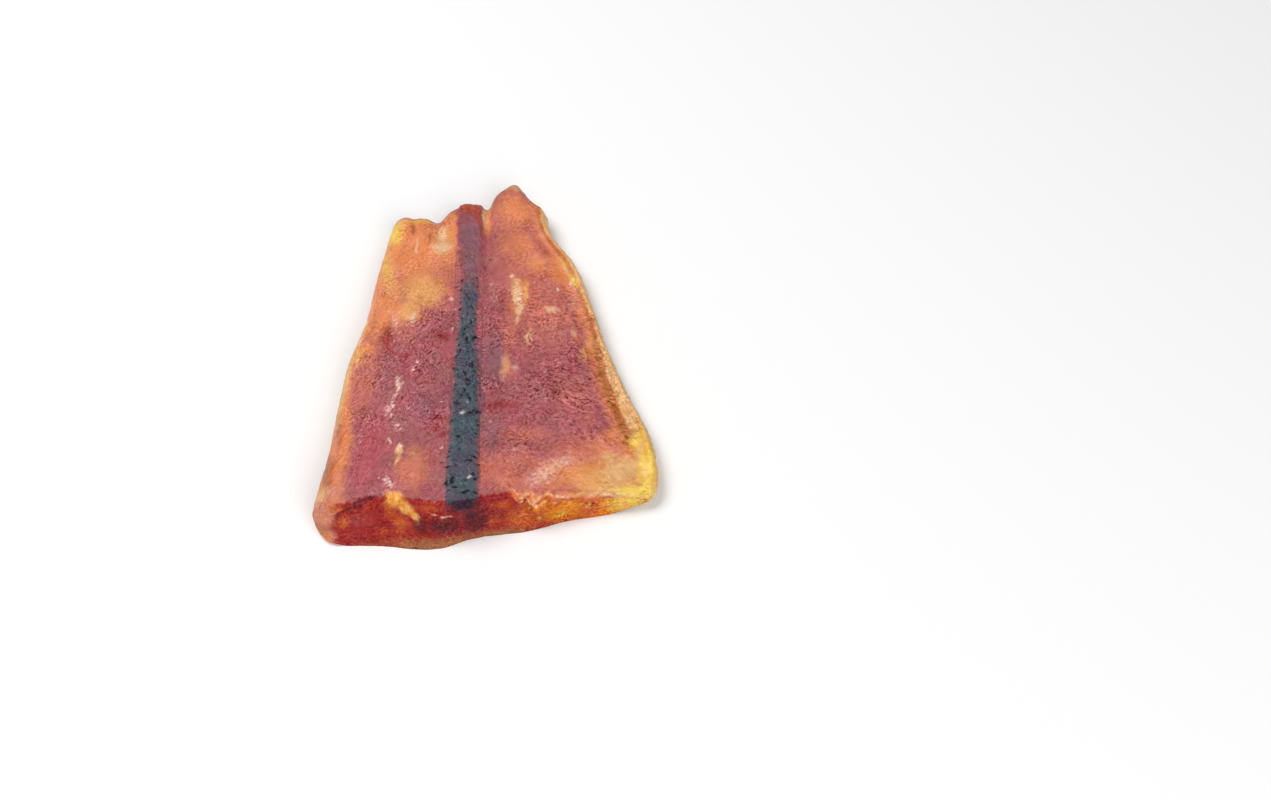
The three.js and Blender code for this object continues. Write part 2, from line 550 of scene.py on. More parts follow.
class Paint(Enum):
    """The weights painted on the slice, each a float attribute that its material reads."""

    ROSE = "rose_flesh"
    MAGENTA = "magenta_flesh"
    ORANGE = "orange_flesh"
    OCHRE = "ochre_fat"
    BLOOD = "blood_red"
    CUT = "cut_face"
    MAROON = "maroon_muscle"
    AMBER = "amber_flesh"
    EMBER = "ember_flesh"
    TAN = "tan_foot"
    RUST = "rust_line"
    # Pale and yellow fat of the thin edges, painted also for the light that glows through them.
    RIM = "rim_fat_and_glow"
    YELLOW = "yellow_fat_and_glow"
    PLUM = "plum_band"
    BAND = "slate_band"
    SHADOW = "purple_shadow"
    VEIN = "fat_vein"
    # Cream fat, and also a painted sheen and painted highlights.
    CREAM = "cream_fat_and_highlight"
    # Dark marks; in the band's dents this dark is also painted shade.
    DARK = "dark_pit"
    # White flakes of fat, and the painted sparkle, sheen and glints of the oily surface.
    FLECK_AND_SHEEN = "white_fleck_and_sheen"
    GLINT = "bright_glint"


FIBRE_PLACE = "fibre_place"


class Mark(Enum):
    """Marks that shade the surface: how crinkled it is, and the lines between the flakes."""

    CRINKLE = "crinkle"
    SEAM = "muscle_seam"


@dataclass(frozen=True)
class Spot:
    """A soft oval of one paint, in millimetres; turn is its long axis from +X, in degrees."""

    x: float
    y: float
    long: float
    short: float
    turn: float = 0.0
    strength: float = 1.0

    def weight(self, x: Numbers, y: Numbers) -> Numbers:
        """Works out the spot's weight.

        Args:
            x, y: the places to read it at.

        Returns:
            Its strength in its middle, 0.37 of that at its rim, and less beyond.
        """
        angle = math.radians(self.turn)
        dx, dy = x - self.x, y - self.y
        u = (dx * math.cos(angle) + dy * math.sin(angle)) / self.long
        v = (dy * math.cos(angle) - dx * math.sin(angle)) / self.short
        return self.strength * np.exp(-(u**2) - v**2)


def spots(x: Numbers, y: Numbers, group: Iterable[Spot]) -> Numbers:
    """Lays a group of spots together.

    Args:
        x, y: the places to read them at.
        group: the spots.

    Returns:
        The greatest of their weights at each place.
    """
    weight = np.zeros_like(x)
    for spot in group:
        weight = np.maximum(weight, spot.weight(x, y))
    return weight


@dataclass(frozen=True)
class Splinter:
    """What a small torn mark is drawn from at random: its half sizes, turn and strength."""

    long: Range
    short: Range
    turn: Range
    strength: Range

    def at(self, rng: np.random.Generator, x: float, y: float, side: int = 1) -> Spot:
        """Draws one mark.

        Args:
            rng: the seeded source of random numbers.
            x, y: the mark's place.
            side: -1 to turn it the other way.

        Returns:
            The mark.
        """
        return Spot(
            x, y, rng.uniform(*self.long), rng.uniform(*self.short),
            side * rng.uniform(*self.turn), rng.uniform(*self.strength),
        )


@dataclass(frozen=True)
class Trail:
    """Small flakes scattered along a bent line, the same ones every time."""

    line: Pairs
    count: int
    spread: float
    size: Range
    strength: Range
    seed: int
    slimness: float = 0.55
    turn: Range = (40, 140)

    def spots(self) -> tuple[Spot, ...]:
        """Scatters the flakes.

        Returns:
            The flakes, each turned at random.
        """
        rng = np.random.default_rng(self.seed)
        line = np.array(self.line, float)
        reach = np.concatenate([[0.0], np.cumsum(np.hypot(*np.diff(line, axis=0).T))])
        at = rng.uniform(0, reach[-1], self.count)
        x = np.interp(at, reach, line[:, 0]) + rng.normal(0, self.spread, self.count)
        y = np.interp(at, reach, line[:, 1]) + rng.normal(0, self.spread, self.count)
        long = rng.uniform(*self.size, self.count)
        turn = rng.uniform(*self.turn, self.count)
        strength = rng.uniform(*self.strength, self.count)
        rows = np.stack([x, y, long, long * self.slimness, turn, strength], axis=1)
        return tuple(Spot(*row) for row in rows)


@dataclass
class Canvas:
    """What is laid on the form: relief along the normals and a weight per paint and mark.

    The fibre places are the places stretched along the fibres, for grain that follows them.
    """

    placed: Placed
    fibre: Numbers = field(init=False)
    relief: Numbers = field(init=False)
    weights: dict[Enum, Numbers] = field(init=False)

    def __post_init__(self) -> None:
        """Starts with no relief and no paint."""
        count = len(self.placed.points)
        self.fibre = self.placed.points.copy()
        self.relief = np.zeros(count)
        self.weights = {layer: np.zeros(count) for layer in (*Paint, *Mark)}

    def paint(self, paint: Paint, weight: Numbers) -> None:
        """Lays on a paint wherever it is thicker than what is there."""
        self.weights[paint] = np.maximum(self.weights[paint], weight)

    def thin(self, share: Numbers, paints: Iterable[Paint]) -> None:
        """Takes away a share of some paints."""
        for paint in paints:
            self.weights[paint] = self.weights[paint] * (1 - share)


# --- Dressing -----------------------------------------------------------------------------


@dataclass(frozen=True)
class FleshTones:
    """The broad tones of the flesh: mauve, rose and magenta, orange towards the thin parts."""

    # How far each noise shifts the tones, and the noise across and along.
    warps: tuple[tuple[float, Ripple, Ripple], ...] = (
        (1.1, Ripple(5.0, 2, 3.0), Ripple(5.0, 2, 31.0)),
        (0.45, Ripple(1.8, 2, 3.0), Ripple(1.8, 2, 31.0)),
    )
    side_depth: Pairs = ((-50, 9), (-38, 8.4), (-26, 7), (-14, 4.8), (4, 5), (20, 5.6))
    side_edge: Ramp = Ramp(2.2, -4, 0.95)
    corner: Spot = Spot(-43, -51, 8, 6, 60)
    corner_paints: dict[Paint, float] = field(default_factory=lambda: {
        Paint.ROSE: 1.0, Paint.FLECK_AND_SHEEN: 0.3, Paint.TAN: 0.42,
    })
    corner_bare_of_orange: float = 0.6
    core_at: float = 3.4
    core_width: float = 1.8
    core_along: Ramp = Ramp(-20, -30, 0.62)
    calm_in_orange: float = 0.45
    calm_at_front: Ramp = Ramp(-27, -37, 0.4)
    calm_at_back: Ramp = Ramp(14, 30, 0.45)
    calm_at_back_from_x: float = -4
    tones: dict[Paint, tuple[Spot, ...]] = field(default_factory=lambda: {
        Paint.ROSE: (
            Spot(14, 24, 27, 13, 100), Spot(8, -43, 15, 8), Spot(26, -37, 13, 8, 15),
            Spot(-20, -45, 5, 7, 0, 0.8), Spot(24, -17, 9, 10, 0, 0.5), Spot(-23, 4, 6, 6, 0, 0.55),
            Spot(-13, 19, 4.6, 9, 0, 0.8), Spot(-34, -13, 18, 4.5, 82, 0.75),
            Spot(6, 4, 4, 10, 0, 0.7), Spot(14, -49, 9, 3.4, 0, 0.9),
            Spot(11, -31, 8, 4, 8, 0.7), Spot(17, 18, 5, 8, 0, 0.5), Spot(11, -2, 3, 5, 0, 0.5),
            Spot(-18, 9, 3.4, 4, 0, 0.6), Spot(27, -25, 3, 5, 0, 0.6), Spot(18, -4, 5, 8, 0, 0.4),
            Spot(18, 5, 7, 4, 0, 0.7),
        ),
        Paint.MAGENTA: (
            Spot(-31.5, -38, 17, 6, 84, 0.85), Spot(20, -22, 12, 6, 20, 0.3),
            Spot(1, -6, 3.4, 12, 0, 0.5), Spot(-12, -3, 3, 7, 0, 0.35),
        ),
        Paint.PLUM: (
            Spot(-11.5, -17, 11, 4.4, 92, 0.5), Spot(-11.5, -35, 8, 3, 92, 0.3),
            Spot(1.6, -6, 12, 3.6, 92, 0.76), Spot(-15, -10, 4, 4, 0, 0.3),
            Spot(31, -8, 2.4, 3, 0, 0.3),
            Spot(1.8, -32, 9, 3, 90, 0.62), Spot(-16.5, -22, 8, 5.5, 80, 0.56),
        ),
        Paint.ORANGE: (
            Spot(-21, 37, 21, 12.5, 84), Spot(-30, 14, 15, 6, 80), Spot(-26, 11, 5, 6, 0, 0.85),
            Spot(-34.4, -1, 3.4, 4.4, 0, 0.8), Spot(-12, 40, 4, 17, 0, 0.9), Spot(-1.4, 49, 2.4, 9),
            Spot(7, 50, 8, 9, 0, 0.8), Spot(8, 37, 8, 7, 0, 0.64), Spot(20, 28, 11, 4.5, 118, 0.8),
            Spot(26, 12, 8, 3, 108, 0.6), Spot(26, -43, 13, 6.6, 14, 0.85),
            Spot(31, -35.5, 9, 5, 30, 0.6), Spot(35, -29, 6, 3.4, 60, 0.7),
            Spot(-18.6, -43, 7, 9.5, 0, 0.46), Spot(5, -47, 7, 3.4, 0, 0.4),
            Spot(13, 30, 6, 5, 0, 0.7),
            Spot(25, 3, 2.4, 4, 0, 0.45), Spot(28, 0, 3, 4.5, 0, 0.5), Spot(8, 17, 2.8, 8, 0, 0.7),
            Spot(5, -8, 2.8, 5.6, 0, 0.6),
        ),
        Paint.OCHRE: (
            Spot(-19.2, 19, 6.6, 6.6, 60), Spot(-22, 12, 4, 5, 0, 0.9),
            Spot(-30.6, 31, 15, 3.2, 103), Spot(27, -2, 2, 4, 0, 0.5),
            Spot(-26, 45.5, 3, 3, 0, 0.9), Spot(-14, 38, 2.6, 6.6, 0, 0.8),
            Spot(15, 44, 6, 2.2, 112, 0.5), Spot(-1.2, 52, 1.6, 3, 0, 0.7),
            Spot(11, 30, 6, 4, 0, 0.35), Spot(23, 28, 6, 2.4, 122, 0.8),
            Spot(27, 17, 8, 1.6, 105, 0.6),
            Spot(33, -44, 11, 5.4, 8), Spot(9.9, 19, 5.5, 0.9, 92, 0.85),
            Spot(7.2, 22.6, 1.6, 1.4, 0, 0.9), Spot(-18.8, -37.2, 4, 3, -20, 0.36),
            Spot(-35.9, -2.6, 4, 1.6, 97), Spot(29.5, 2, 5, 2, 100, 0.7),
        ),
        Paint.RIM: (
            Spot(37, -40.5, 7, 4.6, 28, 0.9), Spot(34, -46.5, 9, 2, 6, 0.7),
            Spot(33, -37.5, 4, 2.4, 20, 0.7), Spot(-43.6, -49, 3, 2.4, 60, 0.75),
            Spot(6.5, 58.5, 4, 1.8, 0, 0.6),
        ),
        Paint.BLOOD: (
            Spot(-28.3, 2.4, 5, 1.9, 92, 0.82), Spot(-29.6, 6, 2.4, 1.2, 95, 0.5),
            Spot(-27.4, -2, 1.6, 1, 0, 0.6), Spot(-26, -3.2, 1.5, 1, 0, 0.75),
            Spot(-23.5, -4, 1.4, 0.9, 0, 0.75), Spot(16.4, 34, 2, 2.8, 0, 0.5),
            Spot(-13, 2.3, 3.6, 2, -25, 0.8), Spot(-11, 0.6, 1.2, 0.6, -30, 0.7),
            Spot(-17.6, -14.6, 2.2, 0.5, 30, 0.8), Spot(-14.3, -13.6, 1.8, 0.45, -5, 0.7),
            Spot(-11.6, -15.8, 1.8, 0.5, -60, 0.75), Spot(-12.3, -27, 1, 1.4, 0, 0.85),
            Spot(-14, -29.7, 1.3, 0.9, 0, 0.85), Spot(-12, -31.9, 1.5, 0.9, 15, 0.9),
            Spot(4.2, -21.6, 6.4, 2.8, 8, 0.66), Spot(9.4, -19.6, 3, 1, 15, 0.45),
            Spot(0.6, -17.4, 2.4, 1.2, 0, 0.5), Spot(22, -10, 4, 1, 10, 0.4),
            Spot(-10.9, 21, 1, 2.5, 0, 0.4), Spot(0, 28.5, 1.3, 4.6, 0, 0.2),
            Spot(18.6, 18.4, 1.4, 2.4, 0, 0.3), Spot(-22.9, 44, 0.8, 3, 0, 0.6),
            Spot(3.4, 17, 1.4, 4, 0, 0.4), Spot(-17.8, 39, 0.8, 3.6, 0, 0.5),
            Spot(24, -8, 4, 1.6, 0, 0.5), Spot(17.4, -28.4, 0.9, 0.5, 50, 0.7),
        ),
        Paint.TAN: (
            Spot(-42.8, -40, 13, 2, 96, 0.8), Spot(-41.2, -24, 12, 1.5, 97, 0.74),
            Spot(-33, 8.5, 2.6, 1.4, 100, 0.4),
        ),
    })

    def dress(self, canvas: Canvas) -> None:
        """Paints the broad tones of the top, and the orange down the thick left side.

        Args:
            canvas: what is laid on the slice.
        """
        placed = canvas.placed
        x, y = placed.x.copy(), placed.y.copy()
        for reach, across, along in self.warps:
            x += reach * across.over(placed.points)
            y += reach * along.over(placed.points)
        for paint, group in self.tones.items():
            canvas.paint(paint, spots(x, y, group))
        depth = curve_through(self.side_depth)(placed.y)
        canvas.paint(Paint.ORANGE, self.side_edge.at(x - placed.x + placed.from_left - depth))
        corner = self.corner.weight(placed.x, placed.y)
        for paint, share in self.corner_paints.items():
            canvas.paint(paint, share * corner)
        canvas.thin(self.corner_bare_of_orange * corner, (Paint.ORANGE,))
        core = hump(placed.from_left - self.core_at, self.core_width)
        canvas.paint(Paint.EMBER, core * self.core_along.at(placed.y))
        at_back = self.calm_at_back.at(placed.y) * (placed.x > self.calm_at_back_from_x)
        canvas.weights[Mark.CRINKLE] = (
            (1 - self.calm_in_orange * canvas.weights[Paint.ORANGE])
            * (1 - self.calm_at_front.at(placed.y)) * (1 - at_back)
        )


@dataclass(frozen=True)
class FatMarks:
    """Fat that lies on the flesh, cream ovals and trails of small white flakes, with the painted
    sparkle, sheen and glints of the oily surface.
    """

    lift: float = 0.18
    warp: float = 0.5
    warp_across: Ripple = Ripple(1.4, 3, 41.0)
    warp_along: Ripple = Ripple(1.4, 3, 53.0)
    # Cream ovals of fat; the three by the front right are a painted sheen, and the one on the
    # yellow corner is a painted highlight.
    ovals: tuple[Spot, ...] = (
        Spot(7.9, 18.6, 1.9, 4.6, 3, 0.95), Spot(6.4, 24.7, 1.1, 0.8, 30, 0.9),
        Spot(8.5, 12.6, 1.5, 3.6, -8, 0.72), Spot(8.1, 8.8, 0.8, 2.2, -8, 0.7),
        Spot(17.6, 12.7, 2.9, 1.6, -5, 0.6), Spot(11, 2.6, 1.5, 3, -12, 0.56),
        Spot(4.8, -8, 2, 4.8, 0, 0.48), Spot(7.8, -8.6, 1.4, 2, 0, 0.3),
        Spot(-14.2, 35.8, 3, 3), Spot(-14.4, 42.4, 2.2, 3.8, 0, 0.82),
        Spot(-21.4, 36.4, 0.5, 2.8, 0, 0.8), Spot(-21.3, 9.6, 1, 2, 0, 0.9),
        Spot(-1.9, 48, 1, 6, 3, 0.85), Spot(23.3, 23.3, 0.7, 1.1, 0, 0.8),
        Spot(24, 4.8, 1.2, 2.2, 0, 0.5), Spot(-23, -37, 1.2, 2.4, -6, 0.85),
        Spot(-23.4, -40.5, 0.6, 2.6, -12, 0.65), Spot(20, -39.4, 3, 1.4, 40, 0.42),
        Spot(17.4, -42.2, 4.6, 1.7, 50, 0.52), Spot(14.6, -45.6, 3, 1.2, 50, 0.42),
        Spot(27.6, 2, 1.4, 1.2, 30, 0.55), Spot(-19, -38.5, 1.6, 0.8, -30, 0.45),
        Spot(42.8, -41, 1.4, 3.4, 0, 0.4), Spot(9, -36, 2, 1.2, 20, 0.3),
    )
    # Trails of white fat flakes, which also stand for the painted sparkle of the oily surface; the
    # long one by the front right is a painted sheen.
    trails: tuple[Trail, ...] = (
        Trail(((-24.7, -11.4), (-24, -14.5), (-24.4, -17.2)), 30, 0.42, (0.3, 0.8), (0.5, 1), 2),
        Trail(((-25.2, -18), (-26.2, -21.5), (-26, -25.8)), 34, 0.5, (0.25, 0.6), (0.45, 1), 3),
        Trail(((-25.3, -27.4), (-24, -28.2), (-23, -30)), 16, 0.4, (0.3, 0.6), (0.5, 1), 4),
        Trail(((-26.2, -32.8), (-25.2, -34.4)), 6, 0.18, (0.35, 0.6), (0.8, 1), 5),
        Trail(((-24, -35), (-22.4, -35.6)), 6, 0.3, (0.3, 0.6), (0.5, 0.8), 6),
        Trail(((-27, -46), (-25.2, -47.4), (-24.5, -49.2)), 20, 0.4, (0.3, 0.7), (0.5, 1), 7),
        Trail(((-27, 13), (-26, 9), (-25.8, 5), (-26.6, 2)), 26, 0.8, (0.25, 0.5), (0.4, 0.85), 8),
        Trail(((-23.4, 13), (-22, 6)), 14, 0.8, (0.25, 0.5), (0.35, 0.7), 9),
        Trail(((-20.4, -10.2), (-19.3, -6.8)), 8, 0.16, (0.35, 0.6), (0.7, 1), 10),
        Trail(
            ((12, -47.4), (16, -44.4), (20, -40.6), (24, -38.4)), 60, 1.5, (0.3, 0.7), (0.3, 0.6),
            11,
        ),
        Trail(((-22, -22), (-21, -26)), 10, 0.9, (0.3, 0.6), (0.3, 0.6), 12),
        Trail(((1, 14), (0.6, 22)), 14, 1.1, (0.25, 0.5), (0.35, 0.75), 13),
        Trail(((22, 14), (24, 18)), 12, 1.1, (0.25, 0.45), (0.35, 0.7), 14),
        Trail(((-35.2, 9), (-35.6, 1)), 12, 0.4, (0.4, 0.8), (0.4, 0.7), 15),
        Trail(((-40, -26), (-10, -24), (30, -20)), 60, 8.0, (0.2, 0.4), (0.3, 0.6), 16),
        Trail(((-33, -29), (-34.6, -36)), 8, 0.25, (0.3, 0.8), (0.3, 0.55), 17),
    )
    # A painted sheen: a pale haze about the flakes, and a broader sheen by the front right.
    sheen_haze: tuple[Spot, ...] = (
        Spot(-24.3, -14.4, 3, 0.9, 92, 0.5), Spot(-25.8, -22, 4, 0.8, 88, 0.4),
        Spot(-24.2, -28.4, 1.6, 1, -30, 0.4), Spot(-25, -47.4, 2.2, 1, -50, 0.45),
        Spot(16, -43.4, 7, 3.4, 42, 0.5), Spot(21, -39.4, 5, 2.2, 34, 0.4),
        Spot(-26, 8, 4, 2, 90, 0.3), Spot(-21.5, 9.4, 2.4, 1.4, 90, 0.4),
        Spot(1, 18, 5, 1.4, 90, 0.25), Spot(23, 15, 3, 1.4, 70, 0.3),
        Spot(7.6, -8.6, 2, 1.4, 0, 0.4), Spot(-20, -8.6, 2.4, 0.6, 60, 0.4),
        Spot(27, -38.6, 5, 1.2, 28, 0.3), Spot(8, -36, 3, 1.4, 20, 0.25),
        Spot(18.5, 5.5, 6, 4, 0, 0.24), Spot(-40.4, -32, 12, 1.6, 96, 0.3),
    )
    # Painted glints of light on the oily surface.
    glints: tuple[Spot, ...] = (
        Spot(-10.6, 15.8, 0.8, 0.42, 5), Spot(-10, 4.6, 0.5, 0.55),
        Spot(-9.4, 12, 0.6, 0.5, 0, 0.7), Spot(-11.7, -36.8, 0.5, 0.5),
        Spot(19.3, 20.4, 0.42, 0.55, 0, 0.75), Spot(1.2, -27.2, 0.4, 0.6, 0, 0.75),
        Spot(-12, -20.8, 0.9, 0.25, 0, 0.6), Spot(-14.2, 35.4, 0.8, 1, 0, 0.5),
        Spot(6.4, 24.8, 0.7, 0.4, 30, 0.6), Spot(8.3, 17.4, 0.7, 2, 0, 0.45),
    )

    def dress(self, canvas: Canvas) -> None:
        """Paints and lifts the fat marks of the top, and the painted sheen and glints with them.

        Args:
            canvas: what is laid on the slice.
        """
        placed = canvas.placed
        x = placed.x + self.warp * self.warp_across.over(placed.points)
        y = placed.y + self.warp * self.warp_along.over(placed.points)
        # The flecks carry the painted sparkle, sheen and glints along with the white flakes.
        cream = spots(x, y, self.ovals) * placed.on_top
        flakes = tuple(spot for trail in self.trails for spot in trail.spots())
        fleck_and_sheen = spots(x, y, flakes + self.glints + self.sheen_haze) * placed.on_top
        canvas.paint(Paint.CREAM, cream)
        canvas.paint(Paint.FLECK_AND_SHEEN, fleck_and_sheen)
        canvas.relief += self.lift * (cream + fleck_and_sheen)


@dataclass(frozen=True)
class LateralBand:
    """The dark lateral band: a proud strip with ragged, barbed edges and torn slits."""

    form: SliceForm
    middle: Pairs = (
        (-56, -6.2), (-40, -5.9), (-20, -5.7), (0, -5.95), (10, -5.85), (24, -5.5), (40, -6.1),
        (54, -6.2),
    )
    edge_noise: Ripple = Ripple(1.9, 3, 5.0)
    raggedness: float = 0.75
    proud_edge: Ramp = Ramp(0.8, -0.6)
    lump_noise: Ripple = Ripple(1.3, 3, 71.0)
    lump_rise: float = 0.16
    calm: float = 0.35
    bareness: float = 0.9
    slate_to: float = 21.0
    slate_fade: float = 6.0
    slate_wander: float = 2.5
    slate_edge: Ramp = Ramp(1.0, -1.3)
    plum_edge: Ramp = Ramp(1.3, -2.2)
    skirt_edge: Ramp = Ramp(2.1, -0.6, 0.8)
    halo_edge: Ramp = Ramp(4.2, 0.2)
    halo_left: float = 0.35
    halo_right: tuple[Ramp, Ramp] = (Ramp(14, -8, 0.85), Ramp(-40, -26))
    seed: int = 4
    barb_pitch: float = 1.9
    barb_overrun: float = 4.0
    barb_jitter: float = 0.9
    barb_reach: Range = (-0.9, 0.5)
    narrow_from_y: float = -12
    wide_barb: Splinter = Splinter((0.4, 1.2), (0.3, 0.5), (-10, 40), (0.4, 0.9))
    narrow_barb: Splinter = Splinter((0.4, 0.7), (0.3, 0.9), (-10, 40), (0.4, 0.9))
    # Each run of dashes: y of its start and end, and the pitch.
    dash_runs: tuple[tuple[float, float, float], ...] = ((-22, 21, 0.62), (-50, -22, 1.8))
    # The dashes' mean distance from the band's middle, and their spread about it.
    dash_off: Range = (0.1, 1.1)
    dash_jitter: float = 0.8
    dash: Splinter = Splinter((0.25, 0.5), (0.4, 1.1), (-35, 35), (0.35, 0.95))
    pit_depth: float = 0.4
    pits: tuple[Spot, ...] = (
        Spot(-3.4, -24.7, 2.4, 0.75, 5), Spot(-8, -21.6, 1.3, 0.8, -20, 0.95),
        Spot(-4.3, -41, 1.5, 0.36, 12), Spot(-8.4, -47.3, 0.8, 1.7, -15), Spot(-7.7, -49.6, 1, 0.5),
        Spot(-5, -51, 1.5, 0.5, 20), Spot(-3, -45.4, 0.7, 0.7), Spot(-7.3, -33, 0.6, 0.5),
        Spot(-10, -48.4, 0.9, 1.6, 20, 0.72), Spot(-11.5, -41.2, 0.9, 0.22, 0, 0.85),
        Spot(-12.5, -36.6, 0.7, 0.22, -40, 0.7), Spot(-18, -33, 0.4, 0.4, 0, 0.85),
        Spot(-5.2, -13.8, 1.5, 0.6, -30, 0.85), Spot(-4.2, -8.5, 0.6, 1.8, 0, 0.75),
        Spot(-9.9, 10.2, 0.8, 0.5, 0, 0.75), Spot(-9.3, 20.4, 0.9, 0.4, 0, 0.7),
        Spot(-10.7, 22.5, 0.6, 0.4, 0, 0.6), Spot(-0.2, 31, 0.9, 0.8, 0, 0.6),
        Spot(-1.5, 28, 0.8, 1.4, 0, 0.6), Spot(-8.6, 49.5, 0.8, 2.6, 0, 0.4),
        Spot(-4.6, -20, 0.5, 1.6, 20, 0.7), Spot(-6.2, -17, 0.4, 1.2, 0, 0.6),
    )
    glints: tuple[Spot, ...] = (
        Spot(-6.5, -24.9, 0.85, 0.5, 25), Spot(-4, -46.4, 0.8, 0.5, 30, 0.9),
        Spot(-5.2, -21.4, 0.5, 1.2, 10, 0.4), Spot(-6, -34, 0.5, 1, 0, 0.25),
        Spot(-4.6, -10.6, 0.4, 1, 0, 0.3),
    )
    sparks: Trail = Trail(
        ((-6.2, -12), (-6.8, 4), (-6, 20)), 26, 1.1, (0.22, 0.45), (0.25, 0.5), 31,
    )
    red_inset: float = 0.4
    red_width: float = 0.9
    red_left: float = 0.42
    red_right: float = 0.126
    tip: tuple[Spot, ...] = (
        Spot(-6.2, 50.8, 5, 4), Spot(-4.2, 48, 1.6, 5, 0, 0.85), Spot(-6, 46, 4, 5, 0, 0.45),
    )
    tip_paints: dict[Paint, float] = field(default_factory=lambda: {
        Paint.BLOOD: 0.8, Paint.EMBER: 0.45,
    })

    def barbs(self) -> tuple[Spot, ...]:
        """Sets a small dark barb every few millimetres along both edges of the band.

        Returns:
            The barbs of the left edge, then those of the right.
        """
        rng = np.random.default_rng(self.seed)
        half, middle = curve_through(self.form.band_half_width), curve_through(self.middle)
        steps = np.arange(self.form.cuts_y[0], self.slate_to + self.barb_overrun, self.barb_pitch)
        made = []
        for side in (-1, 1):
            for step in steps:
                y = step + rng.normal(0, self.barb_jitter)
                reach = half(y) + rng.uniform(*self.barb_reach)
                barb = self.narrow_barb if y > self.narrow_from_y else self.wide_barb
                made.append(barb.at(rng, middle(y) + side * reach, y, -side))
        return tuple(made)

    def dashes(self) -> tuple[Spot, ...]:
        """Scatters black dashes over the band, most of them down its narrow part.

        Returns:
            The dashes.
        """
        rng = np.random.default_rng(self.seed + 1)
        middle = curve_through(self.middle)
        return tuple(
            self.dash.at(
                rng, middle(step) + rng.normal(*self.dash_off),
                step + rng.normal(0, self.dash_jitter),
            )
            for run in self.dash_runs for step in np.arange(*run)
        )

    def dress(self, canvas: Canvas) -> None:
        """Raises and paints the band.

        Args:
            canvas: what is laid on the slice.
        """
        placed = canvas.placed
        x, y, top = placed.x, placed.y, placed.on_top
        ragged = self.edge_noise.over(placed.points)
        across = x - curve_through(self.middle)(y)
        half = curve_through(self.form.band_half_width)(y)
        outside = np.abs(across) - half + self.raggedness * ragged
        slate = smooth(
            y + self.slate_wander * ragged,
            self.slate_to + self.slate_fade, self.slate_to - self.slate_fade,
        )
        canvas.paint(Paint.BAND, self.slate_edge.at(outside) * top * slate)
        canvas.paint(Paint.PLUM, self.plum_edge.blended(self.skirt_edge, slate, outside) * top)
        behind, ahead = self.halo_right
        halo = np.where(across > 0, behind.at(y) * ahead.at(y), self.halo_left)
        canvas.paint(Paint.PLUM, halo * self.halo_edge.at(outside) * top * slate)
        # Pits, slits, barbs and dashes are dented in and painted near black: dark marks of the
        # band, with painted shade in their dents.
        dark = spots(x, y, self.pits + self.barbs() + self.dashes()) * top
        canvas.paint(Paint.DARK, dark)
        canvas.paint(Paint.GLINT, spots(x, y, self.glints + self.sparks.spots()) * top)
        proud = self.proud_edge.at(outside) * top
        lumps = self.lump_noise.over(placed.points)
        canvas.relief += proud * (self.form.band_rise + self.lump_rise * lumps)
        canvas.relief -= self.pit_depth * dark
        canvas.weights[Mark.CRINKLE] *= 1 - self.calm * proud
        canvas.thin(
            self.bareness * proud,
            (Paint.BLOOD, Paint.ORANGE, Paint.OCHRE, Paint.ROSE, Paint.MAGENTA),
        )
        red = np.where(across < 0, self.red_left, self.red_right)
        red = red * hump(outside + self.red_inset, self.red_width)
        canvas.paint(Paint.BLOOD, red * (1 - slate) * top)
        tip = spots(x, y, self.tip) * top
        for paint, share in self.tip_paints.items():
            canvas.paint(paint, share * tip)
        canvas.thin(tip, (Paint.PLUM,))


